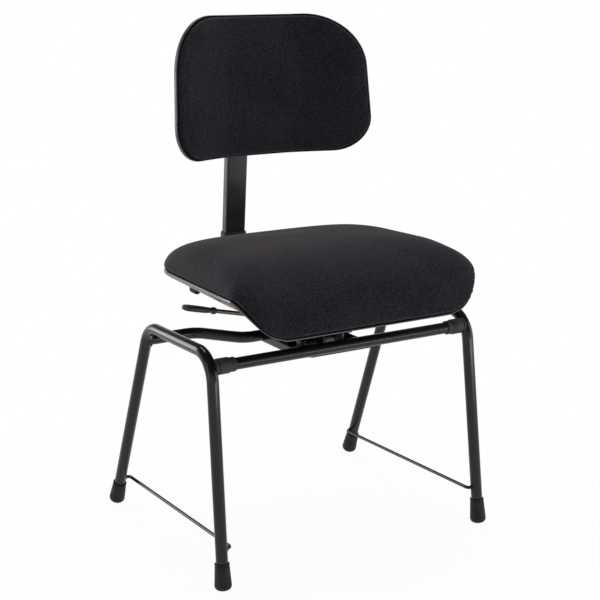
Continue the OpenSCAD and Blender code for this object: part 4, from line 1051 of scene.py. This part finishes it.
def from_back(x, y, z):
    """Point of the backrest's own frame (across, up, forward) in the chair's frame."""
    c, s = math.cos(BACK_LEAN), math.sin(BACK_LEAN)
    return (x, BACK_Y + y * s - z * c, BACK_Z + y * c + z * s)


def back_ring(share, z):
    return [from_back(p[0] * share, p[1] * share, z + back_wrap(p[0] * share)) for p in back_plan]


def back_shell():
    shares = [0.1, 0.2, 0.3, 0.4, 0.48, 0.55, 0.63, 0.7, 0.78, 0.85, 0.91, 0.96]
    rings = [back_ring(s, back_under(s)) for s in shares]
    rings += [back_ring(s, z) for s, z in (
        (0.989, -BACK_BAND), (0.997, -BACK_BAND + 0.2), (1.0, -BACK_BAND + 0.9), (1.0, -1.8), (0.998, -0.6),
        (0.992, 0.0), (0.984, -0.5), (0.98, -2.5))]
    rings += [back_ring(s, back_under(s) + SHELL_T) for s in reversed(shares[:-1])]
    ob = skin("backrest_shell_moulding", rings, from_back(0, 0, -BACK_DEPTH),
              from_back(0, 0, -BACK_DEPTH + SHELL_T), back_plastic, "backrest")
    sharpen(ob, 40)
    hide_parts("backrest_shell")


back_shell()
back_line = np.array(back_ring(1.0, 0.0))


def back_held(p):
    return p[1] > BACK_HELD_Y


def back_cushion():
    board = -BACK_DEPTH + SHELL_T + BACK_BOARD
    rings = [back_ring(s, board) for s in (0.1, 0.3, 0.52)]
    rings += [back_ring(s, back_under(s) + SHELL_T + PAD_GAP)
              for s in (0.54, 0.62, 0.7, 0.78, 0.85, 0.9, 0.94)]
    rings += [back_ring(0.965, -0.6), back_ring(0.972, 0.4)]
    for i in range(BACK_STEPS):
        a = math.radians(90 * i / BACK_STEPS)
        share = BACK_PAD_SHARE * math.cos(a) ** BACK_PAD_ROUND
        rings.append(back_ring(share, mix(BACK_PAD_START, BACK_CROWN, math.sin(a))))
    ob = skin("backrest_pad", rings, from_back(0, 0, board), from_back(0, 0, BACK_CROWN), fabric,
              "backrest")
    inflate(ob, BACK_SWELL, back_held, grip_near(back_line, 9.0, 16.0))
    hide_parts("backrest_cushion")


back_cushion()


# Buffers under the shell
def share_at(x, y):
    """How far out (x, y) lies between the seat's middle and the shell's plan, and the plan's point there."""
    d = np.array((x, y)) - SEAT_MID
    for a, b in zip(shell_plan, shell_plan[1:] + shell_plan[:1]):
        u, v = a - SEAT_MID, b - a
        area = d[0] * v[1] - d[1] * v[0]
        if abs(area) < 1e-9:
            continue
        t = (u[0] * v[1] - u[1] * v[0]) / area
        k = (u[0] * d[1] - u[1] * d[0]) / area
        if t > 0 and -1e-9 <= k <= 1 + 1e-9:
            return 1 / t, a
    return 1.0, shell_plan[0]


BUFFER_W, BUFFER_LEN, BUFFER_H, BUFFER_Y, BUFFER_SHARE = 12, 26, 17, -9.0, 0.92
BUFFER_R, BUFFER_GROW, BUFFER_SUNK = 5.5, 0.3, 0.1
BUFFER_FOOT = ((5.0, 0.0), (3.2, 0.5), (1.6, 1.7), (0.6, 3.2), (0.1, 5.2), (0.0, 8.0), (0.0, 11.0))


def buffers():
    side_x = mix(SEAT_FRONT_W, SEAT_REAR_W, (BUFFER_Y - SEAT_Y0) / SEAT_LEN) / 2 * BUFFER_SHARE
    low = seat_rim((SEAT_REAR_W / 2, BUFFER_Y)) - SEAT_BAND - BUFFER_H
    verts, faces = [], []
    for side in (-1, 1):
        rings = []
        for inset, up in BUFFER_FOOT:
            outline = rounded_rect(BUFFER_W - 2 * inset, BUFFER_LEN - 2 * inset, max(BUFFER_R - inset, 0.4))
            rings.append([(side * (side_x + a), BUFFER_Y + b, low + up) for a, b in outline])
        # The top follows the shell's underside
        top = []
        grown = 2 * BUFFER_GROW
        for a, b in rounded_rect(BUFFER_W + grown, BUFFER_LEN + grown, BUFFER_R + BUFFER_GROW):
            share, p = share_at(side_x + a, BUFFER_Y + b)
            top.append((side * (side_x + a), BUFFER_Y + b, seat_under(p, share) - BUFFER_SUNK))
        rings.append(top)
        v, f = rings_mesh(rings)
        faces += [tuple(i + len(verts) for i in face) for face in f]
        verts += v
    ob = piece("seat_buffer_mouldings", verts, faces, rubber, "frame")
    flip_outward(ob)
    sharpen(ob, 45)
    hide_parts("seat_buffers")


buffers()


# Carrier
CARRIER_SLOPE, CARRIER_TAIL = 52.0, 14.0


def carrier():
    """Folded tray: a U section with rounded folds, carried along its side outline."""
    half, t, flange, fold, skip, quarter = 67.5, 2.5, 12.0, 4.5, 0.2, math.pi / 2
    rim = fold - t
    outline = [(-half, flange), (-half, -t + fold)]
    outline += [(-half + fold - fold * math.cos(a), -t + fold - fold * math.sin(a))
                for a in np.linspace(skip, quarter, 6)]
    outline += [(half - fold + fold * math.sin(a), -t + fold - fold * math.cos(a))
                for a in np.linspace(0, quarter - skip, 6)]
    outline += [(half, -t + fold), (half, flange)]
    outline += [(half - 0.7, flange), (half - t, flange - 0.5), (half - t, rim)]
    outline += [(half - t - rim + rim * math.cos(a), rim - rim * math.sin(a))
                for a in np.linspace(skip, quarter, 5)]
    outline += [(-half + t + rim - rim * math.sin(a), rim - rim * math.cos(a))
                for a in np.linspace(0, quarter - skip, 5)]
    outline += [(-half + t, rim), (-half + t, flange - 0.5), (-half + 0.7, flange)]
    flat_y, end_y = BAR_Y + CARRIER_SLOPE, CROSS_MID_Y + CARRIER_TAIL
    join_z, floor_z = CROSSBAR_Z - TUBE_R, CROSS_Z - TUBE_R
    stations = [(mix(BAR_Y, flat_y, k / 6), mix(join_z, floor_z, k / 6)) for k in range(7)]
    stations += [(mix(flat_y, end_y, k / 10), floor_z) for k in range(1, 11)]
    rings = [[(x, y, z + h) for x, h in outline] for y, z in stations]
    ob = solid("seat_carrier_tray", rings, paint, "frame", 40)
    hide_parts("seat_carrier")


carrier()


# Lever
PIVOT_BACK, LOCK_REACH, LOCK_BOLT_D, LEVER_ROD_D = 29, 60, 8, 7.5
LEVER_X, LEVER_Z = -64.0, 390.0
LEVER = np.array((LEVER_X, CROSS_MID_Y + PIVOT_BACK - LOCK_REACH - LOCK_BOLT_D - LEVER_ROD_D, LEVER_Z))
RISE = math.radians(13.2)
LEVER_ALONG = np.array((-math.cos(RISE), 0, math.sin(RISE)))
LEVER_UP = np.array((math.sin(RISE), 0, math.cos(RISE)))
GRIP_START, GRIP_NECK, GRIP_FLARE, GRIP_FLAT, GRIP_TIP = 121.0, 9.5, 17, 48, 14
GRIP_W, ROUND_UP_TO, OVAL_POWER = 21.6, 13, 3.4


def lever_rings(sections, n=40):
    """Rings of (distance, width, thickness) sections: round on the neck, flattened ovals beyond."""
    rings = []
    for s, w, t in sections:
        e = 2 / OVAL_POWER if w > ROUND_UP_TO else 1.0
        ring = []
        for c, d in circle(1.0, n):
            across, up = w / 2 * math.copysign(abs(c) ** e, c), t / 2 * math.copysign(abs(d) ** e, d)
            ring.append(LEVER + LEVER_ALONG * s + np.array((0, 1, 0)) * across + LEVER_UP * up)
        rings.append(ring)
    return rings


def lever_grip():
    start = GRIP_START
    sections = [(start + s, w, t) for s, w, t in (
        (0.0, 10.6, 10.6), (0.3, 11.6, 11.6), (1.0, 12.0, 12.0), (5.9, 12.0, 12.0), (6.7, 11.5, 11.5),
        (7.2, 10.2, 10.2), (7.9, 10.0, 9.6), (GRIP_NECK, 11.0, 9.0))]
    for k in range(1, 9):
        t = smoothstep(k / 8)
        sections.append((start + GRIP_NECK + GRIP_FLARE * k / 8, mix(11.0, GRIP_W, t), mix(9.4, 9.8, t)))
    sections += [(start + 40, 22.0, 10.0), (start + GRIP_FLAT, GRIP_W, 10.0)]
    for k in range(1, 10):
        a = math.radians(90 * k / 9.3)
        sections.append((start + GRIP_FLAT + GRIP_TIP * math.sin(a), GRIP_W * math.cos(a) ** 0.75,
                         10.0 * max(math.cos(a), 0.02) ** 0.45))
    ob = solid("lever_grip_moulding", lever_rings(sections), smooth_plastic, "lever", 50)
    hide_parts("lever_grip")


lever_grip()


# Stem cover and guide sleeve
STEM_LEAN = math.radians(5.15)
STEM_FOOT = np.array((0.0, 228.2, 415.0))
STEM_UP = np.array((0.0, -math.sin(STEM_LEAN), math.cos(STEM_LEAN)))
STEM_BACK = np.array((0.0, math.cos(STEM_LEAN), math.sin(STEM_LEAN)))


STEM_W, STEM_T, STEM_R = 42, 18, 4.0
STEM_LOW, STEM_HIGH, STEM_STEPS = 25.4, 390.5, 24


def stem_ring(s, w, t, r):
    """Rounded rectangle of width w, thickness t and corner radius r at s up the stem."""
    return [STEM_FOOT + STEM_UP * s + np.array((1, 0, 0)) * a + STEM_BACK * b
            for a, b in rounded_rect(w, t, r)]


def stem_cover():
    rings = [stem_ring(25.0, 41.2, 17.2, 3.6), stem_ring(STEM_LOW, STEM_W, STEM_T, STEM_R)]
    rings += [stem_ring(STEM_LOW + (STEM_HIGH - STEM_LOW) * k / STEM_STEPS, STEM_W, STEM_T, STEM_R)
              for k in range(1, STEM_STEPS + 1)]
    rings += [stem_ring(*size) for size in (
        (391.3, 41.4, 17.4, 3.8), (391.8, 40.2, 16.2, 3.4), (392.0, 38.4, 14.4, 2.8))]
    ob = solid("stem_cover_moulding", rings, smooth_plastic, "stem", 50)
    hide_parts("stem_cover")


stem_cover()


def guide_sleeve():
    w, t, r, h = 47.5, 23.5, 6.6, 75.0
    rings = [stem_ring(s, w - 2 * i, t - 2 * i, r - i * 0.8) for s, i in (
        (0.0, 1.2), (0.35, 0.4), (1.2, 0.0), (24, 0.0), (48, 0.0), (h - 2.4, 0.0), (h - 1.9, 0.2),
        (h - 0.3, 1.6), (h, 1.9))]
    rings += [stem_ring(*size) for size in (
        (h - 0.1, 42.9, 18.9, 4.2), (h - 1.2, 42.4, 18.4, 4.0), (3.0, 42.3, 18.3, 4.0))]
    ob = solid("guide_sleeve_moulding", rings, sleeve_plastic, "arm", 50)
    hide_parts("guide_sleeve")


guide_sleeve()
